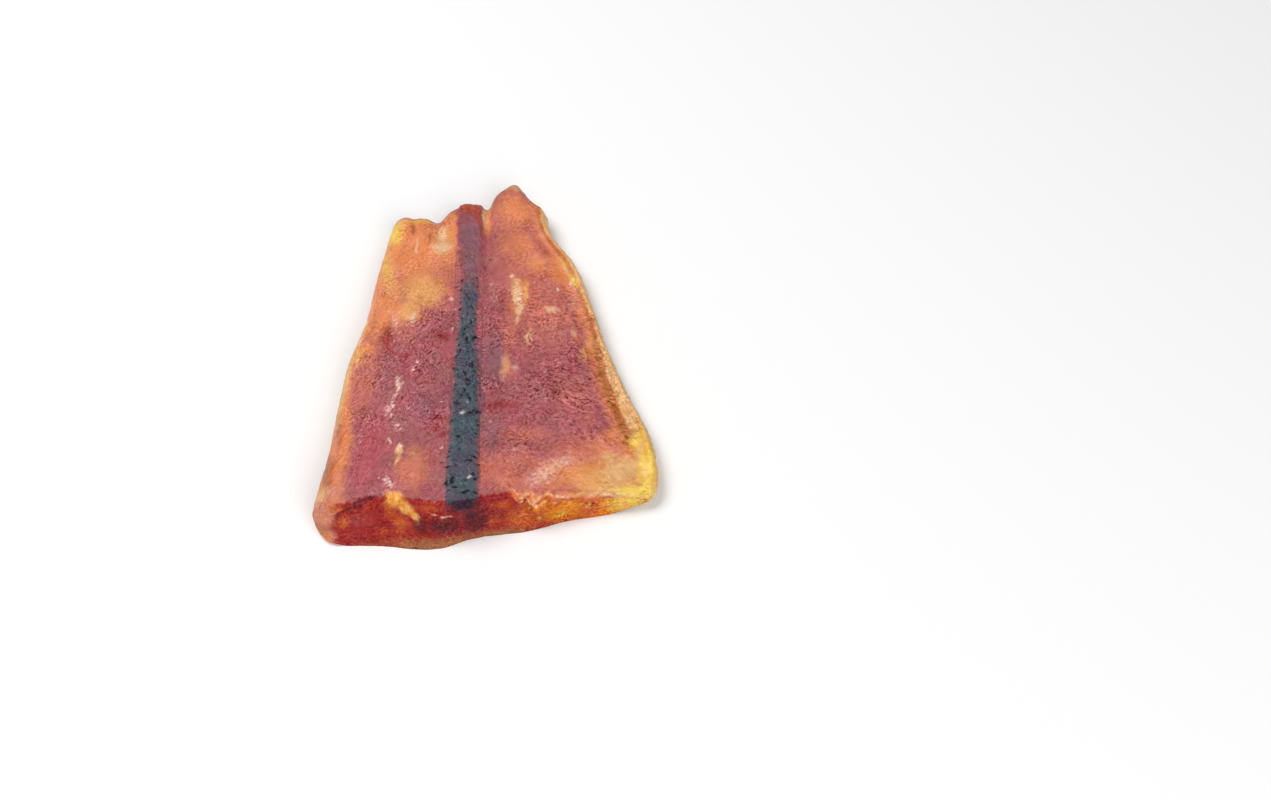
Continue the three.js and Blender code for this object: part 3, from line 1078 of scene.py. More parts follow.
@dataclass(frozen=True)
class DriedRim:
    """The thin edges, where the flesh dries to a pale bead with a rusty line inside it. Their pale
    and yellow paint also stands for light glowing through the thin flesh, and a cream line on the
    bead's crest is a painted highlight.
    """

    rim_half: Pairs = (
        (-50, 2.4), (-38, 2.8), (-30, 2.7), (-20, 2.3), (-12, 2.0), (-2, 1.3), (6, 1.0), (20, 1.1),
        (50, 0.9),
    )
    line_half: Pairs = ((-32, 1.7), (-20, 1.5), (-8, 1.4), (6, 0.9), (50, 0.8))
    left_tone: Pairs = ((-34, 0), (-24, 0.55), (-12, 0.85), (2, 0.6), (12, 0.3))
    wander: Ripple = Ripple(4.0, 3, 61.0)
    wander_reach: float = 0.4
    softness: Range = (3.0, 1.0)
    softness_along: Ramp = Ramp(-40, -24)
    inner_softness: float = 0.9
    blush_reach: float = 5.5
    blush_paints: dict[Paint, float] = field(default_factory=lambda: {
        Paint.ROSE: 0.85, Paint.ORANGE: 0.6,
    })
    line_softness: float = 0.25
    line_from: Ramp = Ramp(-44, -27)
    line_tone: Range = (0.55, 0.85)
    line_tone_along: Ramp = Ramp(8, -6)
    crest_at: float = 1.1
    crest_width: float = 0.4
    crest_ends: tuple[Ramp, Ramp] = (Ramp(-34, -20, 0.5), Ramp(14, -4))
    left_edge: Ramp = Ramp(3.6, 1.2)
    husk_and_shade_edge: Ramp = Ramp(0.7, 0.1, 0.55)
    husk_and_shade_wander: float = 0.3
    husk_and_shade_above: float = 1.0
    bead_noise: Ripple = Ripple(1.5, 3, 67.0)
    bead_stretch: tuple[float, float, float] = (1.0, 0.4, 1.0)
    bead_ripple: float = 0.2
    bead_core: float = 1.4
    bead_softness: float = 0.6
    pale_paints: tuple[Paint, ...] = (Paint.RIM, Paint.YELLOW, Paint.OCHRE)
    calm: float = 0.15
    # Yellow fat at the thin edges, painted brighter also for the light that glows through them.
    yellow: tuple[Spot, ...] = (
        Spot(43.4, -40, 11, 2.9, 88), Spot(40, -47.4, 7, 1.9, 6, 0.95),
        Spot(41, -31, 4.4, 2.6, 65, 0.85), Spot(24.2, 24, 3, 1.3, 120, 0.75),
        Spot(21, 30.5, 3, 1, 125, 0.45), Spot(-28.2, 43, 6.5, 2.4, 100),
        Spot(-30.4, 30, 8, 1.7, 103, 0.5), Spot(-35.2, 11, 3.6, 0.9, 100, 0.65),
        Spot(-21, 46.6, 5, 1.7, 0, 0.6),
    )

    def dress(self, canvas: Canvas) -> None:
        """Paints the rims, and ripples the bead.

        Args:
            canvas: what is laid on the slice.
        """
        placed = canvas.placed
        wander = self.wander.over(placed.points)
        self.dress_right(canvas, placed.from_right + self.wander_reach * wander)
        canvas.paint(Paint.YELLOW, spots(placed.x, placed.y + wander, self.yellow))
        # The left edge is painted paler, also for the light that glows through the thin flesh.
        left = self.left_edge.at(placed.from_left + self.wander_reach * wander)
        canvas.paint(Paint.RIM, left * curve_through(self.left_tone)(placed.y))
        # A thin tan line along the left and back outlines above the table: dried husk, and painted
        # shade where the edge rounds away.
        edge = np.minimum(placed.from_left, placed.from_back) + self.husk_and_shade_wander * wander
        canvas.paint(Paint.TAN, self.husk_and_shade_edge.at(edge) * (placed.z > self.husk_and_shade_above))
        pale = np.maximum.reduce([canvas.weights[paint] for paint in self.pale_paints])
        canvas.weights[Mark.CRINKLE] *= 1 - self.calm * np.clip(pale, 0, 1)

    def dress_right(self, canvas: Canvas, distance: Numbers) -> None:
        """Paints the right rim: pale bead, rusty line, a painted highlight on its crest and the
        blush of the flesh beside it.

        Args:
            canvas: what is laid on the slice.
            distance: distance from the right edge, which wanders a little.
        """
        placed = canvas.placed
        y = placed.y
        rim_half, line_half = curve_through(self.rim_half)(y), curve_through(self.line_half)(y)
        rim = 2 * rim_half
        soft = lerp(*self.softness, self.softness_along.at(y))
        canvas.paint(Paint.RIM, smooth(distance, rim + soft, rim - self.inner_softness * soft))
        blush = smooth(distance, rim + 2 * line_half + self.blush_reach, rim + line_half)
        for paint, share in self.blush_paints.items():
            canvas.paint(paint, share * blush)
        line = hump(distance - rim - line_half, line_half + self.line_softness)
        tone = lerp(*self.line_tone, self.line_tone_along.at(y))
        canvas.paint(Paint.RUST, line * self.line_from.at(y) * tone)
        # A painted highlight: a cream line along the bead's crest.
        crest_highlight = hump(distance - self.crest_at * rim_half, self.crest_width)
        for end in self.crest_ends:
            crest_highlight = crest_highlight * end.at(y)
        canvas.paint(Paint.CREAM, crest_highlight)
        bead = smooth(distance, rim + self.bead_softness, self.bead_core * rim_half)
        ripples = self.bead_noise.over(placed.points * np.array(self.bead_stretch))
        canvas.relief += self.bead_ripple * ripples * bead


@dataclass(frozen=True)
class FleshFibres:
    """The run of the fibres, fanned on the right and steep on the left, and their seams."""

    form: SliceForm
    fan_pitch: float = 2.2
    fan_slope: float = 0.9
    fan_bend: float = 0.012
    fan_stretch: float = 1.7
    streak_pitch: float = 1.9
    streak_slope: float = 0.38
    streak_stretch: float = 1.3
    wrinkle_pitch: float = 2.4
    wrinkle_slope: float = 0.34
    depth: float = 0.1
    sway: Ripple = Ripple(6.0, 2, 83.0)
    sway_reach: float = 1.6
    jitter: Ripple = Ripple(2.2, 2, 89.0)
    jitter_reach: float = 0.5
    side_warp: float = 0.6
    fan_from_x: float = 4
    clear_of_band: float = 4
    band_squeeze: float = 1.5
    fan_across: Ramp = Ramp(2, 8)
    fan_ends: tuple[Ramp, Ramp] = (Ramp(12, -4), Ramp(-40, -30))
    fan_calm: Ramp = Ramp(-20, -30, 0.5)
    streaks_across: Ramp = Ramp(-24, -29, 0.8)
    streaks_end: Ramp = Ramp(4, -8)
    wrinkles: tuple[Spot, ...] = (Spot(29, -41, 10, 5, 18, 0.8), Spot(12, -46, 7, 3.4, 10, 0.8))
    # The seams come and go: their mean strength, how far it swings, and its upper limit.
    patches: Range = (0.55, 1.4)
    patches_most: float = 1.4

    @staticmethod
    def waves(measure: Numbers, pitch: float) -> Numbers:
        """Returns waves of height 1 along a measure."""
        return np.sin(2 * np.pi * measure / pitch)

    def dress(self, canvas: Canvas) -> None:
        """Lays out the fibres, cuts their seams, and wrinkles the thin front right.

        Args:
            canvas: what is laid on the slice.
        """
        placed = canvas.placed
        x, y = placed.x, placed.y
        upper = placed.up > 0.5
        jitter = self.jitter.over(placed.points)
        warp = self.sway_reach * self.sway.over(placed.points) + self.jitter_reach * jitter
        run = x - self.fan_from_x
        fan = y - self.fan_slope * run + self.fan_bend * run**2 + warp
        fan_along = x + self.fan_slope * y
        streak = x - self.streak_slope * y + self.side_warp * warp
        streak_along = y + self.streak_slope * x + warp
        wrinkle = y - self.wrinkle_slope * x + self.side_warp * warp
        fan_norm, streak_norm = math.hypot(1, self.fan_slope), math.hypot(1, self.streak_slope)
        sides = [
            upper & (x > self.form.band_x + self.clear_of_band),
            upper & (x < self.form.band_x - self.clear_of_band),
        ]
        canvas.fibre[:, 0] = np.select(sides, [fan / fan_norm, streak / streak_norm], x)
        canvas.fibre[:, 1] = np.select(
            sides,
            [
                fan_along / fan_norm / self.fan_stretch,
                streak_along / streak_norm / self.streak_stretch,
            ],
            self.band_squeeze * y,
        )
        in_fan = self.fan_across.at(x) * (1 - self.fan_calm.at(y))
        for end in self.fan_ends:
            in_fan = in_fan * end.at(y)
        seams = in_fan * self.waves(fan, self.fan_pitch)
        in_streaks = self.streaks_across.at(x) * self.streaks_end.at(y)
        seams += in_streaks * self.waves(streak, self.streak_pitch)
        seams += spots(x, y, self.wrinkles) * self.waves(wrinkle, self.wrinkle_pitch)
        least, swing = self.patches
        seams = seams * np.clip(least + swing * jitter, 0, self.patches_most) * upper
        canvas.weights[Mark.SEAM] = seams
        canvas.relief += self.depth * seams


@dataclass(frozen=True)
class CutFaces:
    """The two cuts: red flesh, a fat vein, dark muscle bundles and amber thin flesh."""

    form: SliceForm
    sway: Ripple = Ripple(2.2, 3, 97.0)
    sway_across: float = 0.7
    sway_up: float = 0.45
    left_end: Ramp = Ramp(-43, -37)
    left_end_sway: float = 1.2
    wrap_edge: Ramp = Ramp(1.4, 0.5)
    wrap_sway: float = 0.6
    wrap_to: Ramp = Ramp(9, 6)
    wrap_from_left: Ramp = Ramp(2, 5)
    lump_noise: Ripple = Ripple(1.7, 3, 101.0)
    lumps: float = 0.3
    bundle_height: float = 0.6
    vein_height: float = 0.35
    flake_height: float = 0.35
    flake_cream: float = 0.8
    relief_from_foot: Ramp = Ramp(0, 0.12)
    crinkle: float = 0.62
    crinkle_more: Ramp = Ramp(4, 14, 0.5)
    tones: dict[Paint, tuple[Spot, ...]] = field(default_factory=lambda: {
        Paint.MAROON: (
            Spot(-17, 6.6, 2.6, 3), Spot(-10.5, 6.2, 5.4, 3.2), Spot(-2.6, 5.2, 4.6, 4.6),
            Spot(3, 5.6, 3.4, 2.6, 0, 0.55), Spot(-34.5, 10.8, 4.4, 1, 10, 0.85),
            Spot(-38.6, 9, 2.4, 0.9, 50, 0.7), Spot(-32, 1.6, 7, 1.2, 0, 0.5),
        ),
        Paint.AMBER: (
            Spot(21, 4.5, 7, 5), Spot(31, 3, 8, 5), Spot(14.5, 7.5, 4.4, 2.4, 0, 0.85),
        ),
        Paint.EMBER: (
            Spot(28, 3.6, 3.2, 3.8), Spot(-22.6, 6, 2.6, 3.4, 0, 0.7),
            Spot(2.5, 4, 3, 3, 0, 0.45), Spot(10, 4, 5.5, 3.6, 0, 0.95),
            Spot(17.6, 8, 2.6, 1, 0, 0.6),
            Spot(5, 8, 5, 1.6, -8, 0.6), Spot(-37.4, 6.4, 1.6, 2.4, -30, 0.75),
            Spot(-33, 8, 2, 0.9, 20, 0.4), Spot(-27, 3.6, 2.4, 1.4, 0, 0.5),
            Spot(-30.4, 10.6, 1.6, 0.7, 20, 0.45),
            Spot(-14.5, 11.4, 4, 1.4, 0, 0.62), Spot(-24.8, 9, 1.8, 3, 0, 0.7),
        ),
        Paint.ORANGE: (
            Spot(12.6, 8.8, 3, 1, -8, 0.75), Spot(16, 6.5, 2.2, 1.8, -40, 0.5),
            Spot(-40, 6, 1.3, 1.8, 0, 0.9), Spot(-41, 8, 1, 2.6, 0, 0.6),
        ),
        Paint.YELLOW: (
            Spot(38, 3.6, 6, 4), Spot(20, 3.2, 2.8, 1.4, 0, 0.6), Spot(33, 4.6, 3, 1, 0, 0.6),
        ),
        Paint.VEIN: (
            Spot(-23.8, 12.2, 3, 1.9), Spot(-20.8, 10.8, 3.4, 1.7, -32),
            Spot(-18.6, 9, 1.8, 1.3, -50, 0.9), Spot(36.8, 3.6, 0.9, 2.6, 0, 0.75),
            Spot(32.8, 4, 0.8, 2, 0, 0.6),
        ),
        Paint.TAN: (
            Spot(-14, 0.6, 13, 2.5), Spot(4, 0.4, 10, 1.6, 0, 0.8), Spot(-30, 0, 8, 0.8, 0, 0.5),
        ),
        Paint.DARK: (
            Spot(-7.2, 3, 0.5, 2.4, 0, 0.5), Spot(-13.8, 6.8, 0.35, 2.2, 10, 0.5),
            Spot(-0.4, 6, 0.4, 2.6, 15, 0.5),
        ),
        Paint.SHADOW: (
            Spot(-5.4, 11, 4.8, 2.4, -6), Spot(-4, 7.4, 2, 2.4, 0, 0.65),
            Spot(-11.2, 6.4, 3.4, 2.4, 0, 0.2),
        ),
    })
    seam_line: Pairs = ((-20.5, 9.2), (-18, 8.1), (-15.4, 9.6), (-11, 9), (-7, 8.2), (-3, 7.8))
    seam_half: float = 0.26
    seam_ends: tuple[Ramp, Ramp] = (Ramp(-20.6, -19), Ramp(-4, -9, 0.62))
    # Soft painted highlights on the red cut, where its red is left thin.
    painted_highlights: tuple[Spot, ...] = (
        Spot(-33.6, 7.4, 4.4, 2.4, 10, 0.44), Spot(-27.6, 8.4, 2, 1.4, 0, 0.3),
    )
    grain: dict[Paint, Trail] = field(default_factory=lambda: {
        Paint.EMBER: Trail(((5, 6), (18, 5), (33, 3.4)), 40, 1.4, (0.5, 1.3), (0.4, 0.9), 21),
        Paint.YELLOW: Trail(((16, 5), (24, 4.4), (36, 3)), 26, 1.2, (0.4, 1.2), (0.3, 0.7), 22),
        Paint.MAROON: Trail(((2, 6), (12, 5), (26, 4)), 26, 1.6, (0.4, 1.1), (0.3, 0.7), 23),
    })
    flakes: tuple[Spot, ...] = (
        Spot(9.6, 9.4, 1, 0.6, -20), Spot(11.8, 8.6, 1, 0.7, 30), Spot(13.6, 8.3, 0.9, 0.6, -30),
        Spot(15.6, 7.9, 1, 0.5, 10), Spot(18.4, 7.6, 1.1, 0.4, -15, 0.8),
        Spot(22, 7, 1.4, 0.35, -8, 0.7),
    )
    bundles: tuple[Spot, ...] = (
        Spot(-17, 6.4, 2.6, 3), Spot(-11, 6, 4, 3.4), Spot(-32, 6, 6, 4.5),
        Spot(5, 6, 3.6, 3, 0, 0.7), Spot(-3.2, 4.6, 2.8, 3.6, 0, 0.7),
    )

    def dress(self, canvas: Canvas) -> None:
        """Paints both cuts, raises their muscle bundles and lets the red wrap over the lip.

        Args:
            canvas: what is laid on the slice.
        """
        placed = canvas.placed
        back = (placed.along > 1 - ON_SIDE) & ~placed.on_top
        cut = back | ((placed.along < ON_SIDE) & ~placed.on_top)
        share = placed.from_left / (placed.from_left + placed.from_right)
        height = curve_through(self.form.front_height)(share)
        sway = self.sway.over(placed.points)
        ends = self.form.left_edge[0][1], self.form.right_edge[0][1]
        x = np.where(back, lerp(*ends, share), placed.x) + self.sway_across * sway
        z = np.where(back, placed.up * height, placed.z) - self.sway_up * sway
        cut = cut * self.left_end.at(placed.x + self.left_end_sway * sway)
        canvas.thin(cut, Paint)
        wrap = self.wrap_edge.at(placed.from_front + self.wrap_sway * sway)
        wrap = wrap * self.wrap_to.at(placed.x) * self.wrap_from_left.at(placed.from_left)
        wrap = np.maximum(wrap, cut)
        # The cut's red is thinned under the painted highlights.
        canvas.paint(Paint.CUT, wrap * (1 - spots(x, z, self.painted_highlights)))
        for paint, trail in self.grain.items():
            canvas.paint(paint, spots(x, z, trail.spots()) * cut)
        for paint, group in self.tones.items():
            canvas.paint(paint, spots(x, z, group) * wrap)
        seam = hump(z - curve_through(self.seam_line)(x), self.seam_half) * cut
        for end in self.seam_ends:
            seam = seam * end.at(x)
        canvas.paint(Paint.CREAM, seam)
        flakes = spots(x, z, self.flakes) * cut
        canvas.paint(Paint.CREAM, self.flake_cream * flakes)
        bumps = self.bundle_height * spots(x, z, self.bundles) + self.flake_height * flakes
        bumps += self.vein_height * spots(x, z, self.tones[Paint.VEIN])
        bumps += self.lumps * self.lump_noise.over(placed.points)
        canvas.relief += cut * self.relief_from_foot.at(placed.up) * bumps
        canvas.weights[Mark.CRINKLE] = lerp(
            canvas.weights[Mark.CRINKLE], self.crinkle + self.crinkle_more.at(placed.x), cut
        )


@dataclass(frozen=True)
class FrontLip:
    """The lip over the front cut: cream fat at the left, torn flakes right of the band."""

    # The run of flakes: x of its start and end, and the pitch.
    flake_run: tuple[float, float, float] = (8.6, 31, 1.5)
    flake_jitter: float = 0.3
    flake_inward: Range = (0.3, 1.5)
    flake: Splinter = Splinter((0.6, 1.2), (0.35, 0.6), (-30, 40), (0.6, 0.95))
    flake_cream: float = 0.75
    flake_rise: float = 0.4
    seed: int = 12
    near: float = 5.0
    sway: Ripple = Ripple(1.8, 2, 107.0)
    sway_reach: float = 0.4
    torn_ends: tuple[Ramp, Ramp] = (Ramp(4, 9), Ramp(34, 28))
    torn_paints: dict[Paint, Ramp] = field(default_factory=lambda: {
        Paint.ORANGE: Ramp(2.6, 1.2), Paint.EMBER: Ramp(1.3, 0.2, 0.75),
    })
    torn_drop: Ramp = Ramp(1.4, 0.4, 0.2)
    marks: dict[Paint, Spot] = field(default_factory=lambda: {
        Paint.CREAM: Spot(32, 0.8, 8, 0.45, 0, 0.7), Paint.MAROON: Spot(-31, 0.9, 4.5, 0.7, 2, 0.8),
        Paint.VEIN: Spot(-23.5, 1, 3, 1.5, -8), Paint.SHADOW: Spot(-6, -0.2, 3.6, 1.1),
    })
    vein_rise: float = 0.25

    def flakes(self) -> tuple[Spot, ...]:
        """Sets torn flakes along the lip, each by its x and its distance from the lip.

        Returns:
            The flakes, from left to right.
        """
        rng = np.random.default_rng(self.seed)
        return tuple(
            self.flake.at(
                rng, x + rng.normal(0, self.flake_jitter), rng.uniform(*self.flake_inward)
            )
            for x in np.arange(*self.flake_run)
        )

    def dress(self, canvas: Canvas) -> None:
        """Paints the lip and lifts its flakes.

        Args:
            canvas: what is laid on the slice.
        """
        placed = canvas.placed
        near = placed.on_top & (placed.from_front < self.near)
        x = placed.x
        inward = placed.from_front + self.sway_reach * self.sway.over(placed.points)
        torn = near
        for end in self.torn_ends:
            torn = torn * end.at(x)
        for paint, edge in self.torn_paints.items():
            canvas.paint(paint, edge.at(inward) * torn)
        flakes = spots(x, inward, self.flakes()) * torn
        canvas.paint(Paint.CREAM, self.flake_cream * flakes)
        for paint, mark in self.marks.items():
            canvas.paint(paint, mark.weight(x, inward) * near)
        vein = self.marks[Paint.VEIN].weight(x, inward) * near
        canvas.relief += self.flake_rise * flakes + self.vein_rise * vein
        canvas.relief -= torn * self.torn_drop.at(inward)


@dataclass(frozen=True)
class DriedGrain:
    """The pebbly crinkle of the whole dried surface."""

    lump_noise: Ripple = Ripple(3.5, 3, 11.0)
    lumps: float = 0.13
    grain_noise: Ripple = Ripple(1.0, 2, 23.0)
    grain: float = 0.032
    patch_noise: Ripple = Ripple(7.0, 2, 29.0)
    patch_middle: float = 0.84
    patch_swing: float = 0.8
    patch_limits: Range = (0.3, 1.7)

    def dress(self, canvas: Canvas) -> None:
        """Adds the crinkle to the relief.

        Args:
            canvas: what is laid on the slice.
        """
        points = canvas.placed.points
        patches = self.patch_middle + self.patch_swing * self.patch_noise.over(points)
        canvas.weights[Mark.CRINKLE] *= np.clip(patches, *self.patch_limits)
        crinkle = canvas.weights[Mark.CRINKLE] * self.grain_noise.over(canvas.fibre)
        canvas.relief += self.lumps * self.lump_noise.over(points) + self.grain * crinkle


# --- The slice ----------------------------------------------------------------------------


@dataclass
class FilletSlice:
    """The whole slice: its form, its dressing and its finish."""

    form: SliceForm = field(default_factory=SliceForm)

    def build(self) -> bpy.types.Object:
        """Builds and dresses the slice.

        Returns:
            The finished piece, riding on the root body.
        """
        mesh = self.form.grid_mesh(SLICE_PIECE)
        unit = np.empty(len(mesh.vertices) * 3)
        mesh.vertices.foreach_get("co", unit)
        canvas = Canvas(self.form.place(unit.reshape(-1, 3)))
        for dressing in (
            FleshFibres(self.form), FleshTones(), DriedRim(), FatMarks(), LateralBand(self.form),
            CutFaces(self.form), FrontLip(), DriedGrain(),
        ):
            dressing.dress(canvas)
        self.lay_on(mesh, canvas)

        piece = bpy.data.objects.new(SLICE_PIECE, mesh)
        bpy.context.scene.collection.objects.link(piece)
        mesh.materials.append(DriedSalmon().material())
        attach(piece, "root")
        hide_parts(SLICE_NODE)
        return piece

    @staticmethod
    def lay_on(mesh: bpy.types.Mesh, canvas: Canvas) -> None:
        """Bends the mesh to the form, adds the relief along its normals, and the weights.

        Args:
            mesh: the unit box with the grid on it.
            canvas: the places, relief and weights of its corners.
        """
        mesh.vertices.foreach_set("co", (canvas.placed.points * MM).ravel())
        mesh.update()
        normals = np.empty(len(mesh.vertices) * 3)
        mesh.vertices.foreach_get("normal", normals)
        lifted = canvas.placed.points + normals.reshape(-1, 3) * canvas.relief[:, None]
        lifted[:, 2] = np.maximum(lifted[:, 2], 0.0)
        mesh.vertices.foreach_set("co", (lifted * MM).ravel())
        mesh.update()
        for polygon in mesh.polygons:
            polygon.use_smooth = True
        for name, weight in canvas.weights.items():
            layer = mesh.attributes.new(name.value, "FLOAT", "POINT")
            layer.data.foreach_set("value", weight.astype(np.float32))
        fibre = mesh.attributes.new(FIBRE_PLACE, "FLOAT_VECTOR", "POINT")
        fibre.data.foreach_set("vector", (canvas.fibre * MM).astype(np.float32).ravel())


# --- Finishes -----------------------------------------------------------------------------


# A Mix node's colour sockets by number, because its sockets share their names.
MIX_A, MIX_B, MIX_RESULT = 6, 7, 2


def add_node(tree: bpy.types.NodeTree, kind: str, settings: dict | None = None,
             links: dict | None = None) -> bpy.types.Node:
    """Adds a node to a tree, with its settings and the links into it.

    Args:
        tree: the node tree.
        kind: the node's type, without the leading ShaderNode.
        settings: values by the name of a property, or of an input by name or number.
        links: output sockets by the name or number of the input that they feed.

    Returns:
        The new node.
    """
    node = tree.nodes.new("ShaderNode" + kind)
    for name, value in (settings or {}).items():
        if isinstance(name, str) and hasattr(node, name):
            setattr(node, name, value)
        else:
            node.inputs[name].default_value = value
    for name, socket in (links or {}).items():
        tree.links.new(socket, node.inputs[name])
    return node


class Grain(Enum):
    """Sizes of the noise that breaks up the paints, in millimetres."""

    COARSE = 5.0
    MIDDLE = 1.6
    FINE = 0.8


@dataclass(frozen=True)
class Layer:
    """One paint of a finish: two close colours, and how raggedly its weight turns to cover."""

    paint: Paint
    colour: str
    other: str
    raggedness: float = 0.2
    grain: Grain = Grain.MIDDLE
    bare: float = 0.12
    full: float = 0.88
    drift: Grain = Grain.COARSE


@dataclass(frozen=True)
class DriedSalmon:
    """Air-dried salmon flesh: satin, slightly oily and translucent, in mauve and orange."""

    flesh: tuple[str, str] = ("#9d5a5b", "#a7555d")
    layers: tuple[Layer, ...] = (
        Layer(Paint.ROSE, "#c26a5a", "#bc6a60"),
        Layer(Paint.MAGENTA, "#ab4d56", "#b2565a"),
        Layer(Paint.ORANGE, "#dd8450", "#dc865e"),
        Layer(Paint.OCHRE, "#dc9858", "#dd9c62"),
        Layer(Paint.PLUM, "#88585c", "#845662", 0.2),
        Layer(Paint.BLOOD, "#8c2c32", "#9c3a34", 0.5),
        Layer(Paint.CUT, "#9c2224", "#a52c20", 0.1),
        Layer(Paint.MAROON, "#66141c", "#74191c", 0.25),
        Layer(Paint.AMBER, "#e08400", "#d87000", 0.3),
        Layer(Paint.EMBER, "#c4561a", "#c8602a", 0.3),
        Layer(Paint.TAN, "#9c5a3a", "#a8683f", 0.3),
        Layer(Paint.RUST, "#a85e30", "#b06c3a", 0.3),
        # Pale and yellow fat of the thin edges, painted also for the light that glows through them.
        Layer(Paint.RIM, "#d9a468", "#e0b07c", 0.3),
        Layer(Paint.YELLOW, "#e2b048", "#ecc85e", 0.25),
        Layer(Paint.BAND, "#46535b", "#524c5a", 0.15, bare=0.05, full=0.95),
        Layer(Paint.SHADOW, "#2a0020", "#340a2a", 0.1, bare=0.0, full=1.0),
        Layer(Paint.VEIN, "#e09038", "#ecac5e", 0.45, drift=Grain.MIDDLE),
        # Cream fat, also used for a painted sheen and painted highlights.
        Layer(Paint.CREAM, "#e6b284", "#ecc098", 0.4),
        # Near black marks, with painted shade in the band's dents.
        Layer(Paint.DARK, "#1a151d", "#241e28", 0.3, Grain.FINE, 0.25, 0.75),
        # White flakes of fat, with the painted sparkle, sheen and glints of the oily surface.
        Layer(Paint.FLECK_AND_SHEEN, "#eab6a6", "#f2cabc", 0.6, Grain.FINE, 0.05, 1.0),
        Layer(Paint.GLINT, "#b4adb0", "#cfcac8", 0.3, Grain.FINE, 0.05, 0.95),
    )
    veil: tuple[float, float, float] = (0.1, 0.1, 0.1)
    noise_detail: float = 2.0
    drift_between: Range = (0.38, 0.62)
    mottle_detail: float = 1.0
    mottle_roughness: float = 1.0
    # How far the fine and broad crinkle scale the colour: its random tone, and painted shade in its
    # hollows and painted light on its ridges.
    fine_mottle_and_shade: float = 1.9
    fine_size: float = 0.7 * MM
    broad_mottle_and_shade: float = 0.35
    broad_size: float = 5.0 * MM
    seam_shade: float = 0.05
    roughness: Range = (0.36, 0.55)
    bump_height: float = 0.2 * MM
    bump_strength: float = 0.7
    # Light soaks a few millimetres into the flesh, red the furthest, and a thin film of its own
    # oil lies on it, so it glows a little at its thin edges and has a soft, broken sheen.
    gloss: dict[str, float | tuple[float, float, float]] = field(default_factory=lambda: {
        "IOR": 1.42, "Specular IOR Level": 0.22, "Subsurface Weight": 0.1,
        "Subsurface Radius": (3 * MM, 1.2 * MM, 0.7 * MM), "Subsurface Scale": 1.0,
        "Coat Weight": 0.08, "Coat Roughness": 0.25,
    })

    def noises(self, tree: bpy.types.NodeTree) -> dict[Grain, bpy.types.NodeSocket]:
        """Adds one noise of each size, in object space.

        Args:
            tree: the node tree.

        Returns:
            The noise of each size, from 0 to 1.
        """
        place = add_node(tree, "TexCoord").outputs["Object"]
        return {
            grain: add_node(
                tree, "TexNoise",
                {"Scale": 1 / (grain.value * MM), "Detail": self.noise_detail}, {"Vector": place},
            ).outputs["Fac"]
            for grain in Grain
        }

    @staticmethod
    def cover(tree: bpy.types.NodeTree, layer: Layer,
              noise_value: bpy.types.NodeSocket) -> bpy.types.NodeSocket:
        """Turns a painted weight to ragged cover.

        Args:
            tree: the node tree.
            layer: the paint and its raggedness.
            noise_value: the noise that breaks it up.

        Returns:
            Cover from 0 to 1.
        """
        weight = add_node(
            tree, "Attribute", {"attribute_name": layer.paint.value}
        ).outputs["Fac"]
        ragged = add_node(
            tree, "Math", {"operation": "MULTIPLY_ADD", 1: layer.raggedness},
            {0: noise_value, 2: weight},
        ).outputs[0]
        middle = layer.raggedness * 0.5
        return add_node(
            tree, "MapRange",
            {"interpolation_type": "SMOOTHSTEP", "From Min": layer.bare + middle,
             "From Max": layer.full + middle},
            {"Value": ragged},
        ).outputs["Result"]

    def drifting(self, tree: bpy.types.NodeTree, colours: tuple[str, str],
                 noise_value: bpy.types.NodeSocket) -> bpy.types.NodeSocket:
        """Lets a colour drift to a close one with the noise.

        Args:
            tree: the node tree.
            colours: the two colours, as sRGB hex.
            noise_value: the noise that shares them out.

        Returns:
            The drifting colour.
        """
        low, high = self.drift_between
        share = add_node(
            tree, "MapRange", {"From Min": low, "From Max": high}, {"Value": noise_value}
        ).outputs["Result"]
        return add_node(
            tree, "Mix",
            {"data_type": "RGBA", MIX_A: srgb(colours[0]), MIX_B: srgb(colours[1])},
            {"Factor": share},
        ).outputs[MIX_RESULT]

    def colour(self, tree: bpy.types.NodeTree,
               noises: dict[Grain, bpy.types.NodeSocket]) -> bpy.types.NodeSocket:
        """Lays every paint over the flesh, one above the other.

        Args:
            tree: the node tree.
            noises: the noise of each size.

        Returns:
            The colour of the surface, before it is shaded by its grain.
        """
        colour = self.drifting(tree, self.flesh, noises[Grain.COARSE])
        for layer in self.layers:
            tint = self.drifting(tree, (layer.colour, layer.other), noises[layer.drift])
            cover = self.cover(tree, layer, noises[layer.grain])
            colour = add_node(
                tree, "Mix", {"data_type": "RGBA"},
                {"Factor": cover, MIX_A: colour, MIX_B: tint},
            ).outputs[MIX_RESULT]
        return colour

    def swing(self, tree: bpy.types.NodeTree, size: float,
              reach: float) -> bpy.types.NodeSocket:
        """Adds grain that runs with the fibres and swings about zero.

        Args:
            tree: the node tree.
            size: width of its largest lumps, in metres.
            reach: how far it swings.

        Returns:
            The grain's value.
        """
        place = add_node(tree, "Attribute", {"attribute_name": FIBRE_PLACE}).outputs["Vector"]
        grain = add_node(
            tree, "TexNoise",
            {"Scale": 1 / size, "Detail": self.mottle_detail, "Roughness": self.mottle_roughness},
            {"Vector": place},
        ).outputs["Fac"]
        return add_node(
            tree, "Math", {"operation": "MULTIPLY_ADD", 1: reach, 2: -0.5 * reach}, {0: grain}
        ).outputs[0]

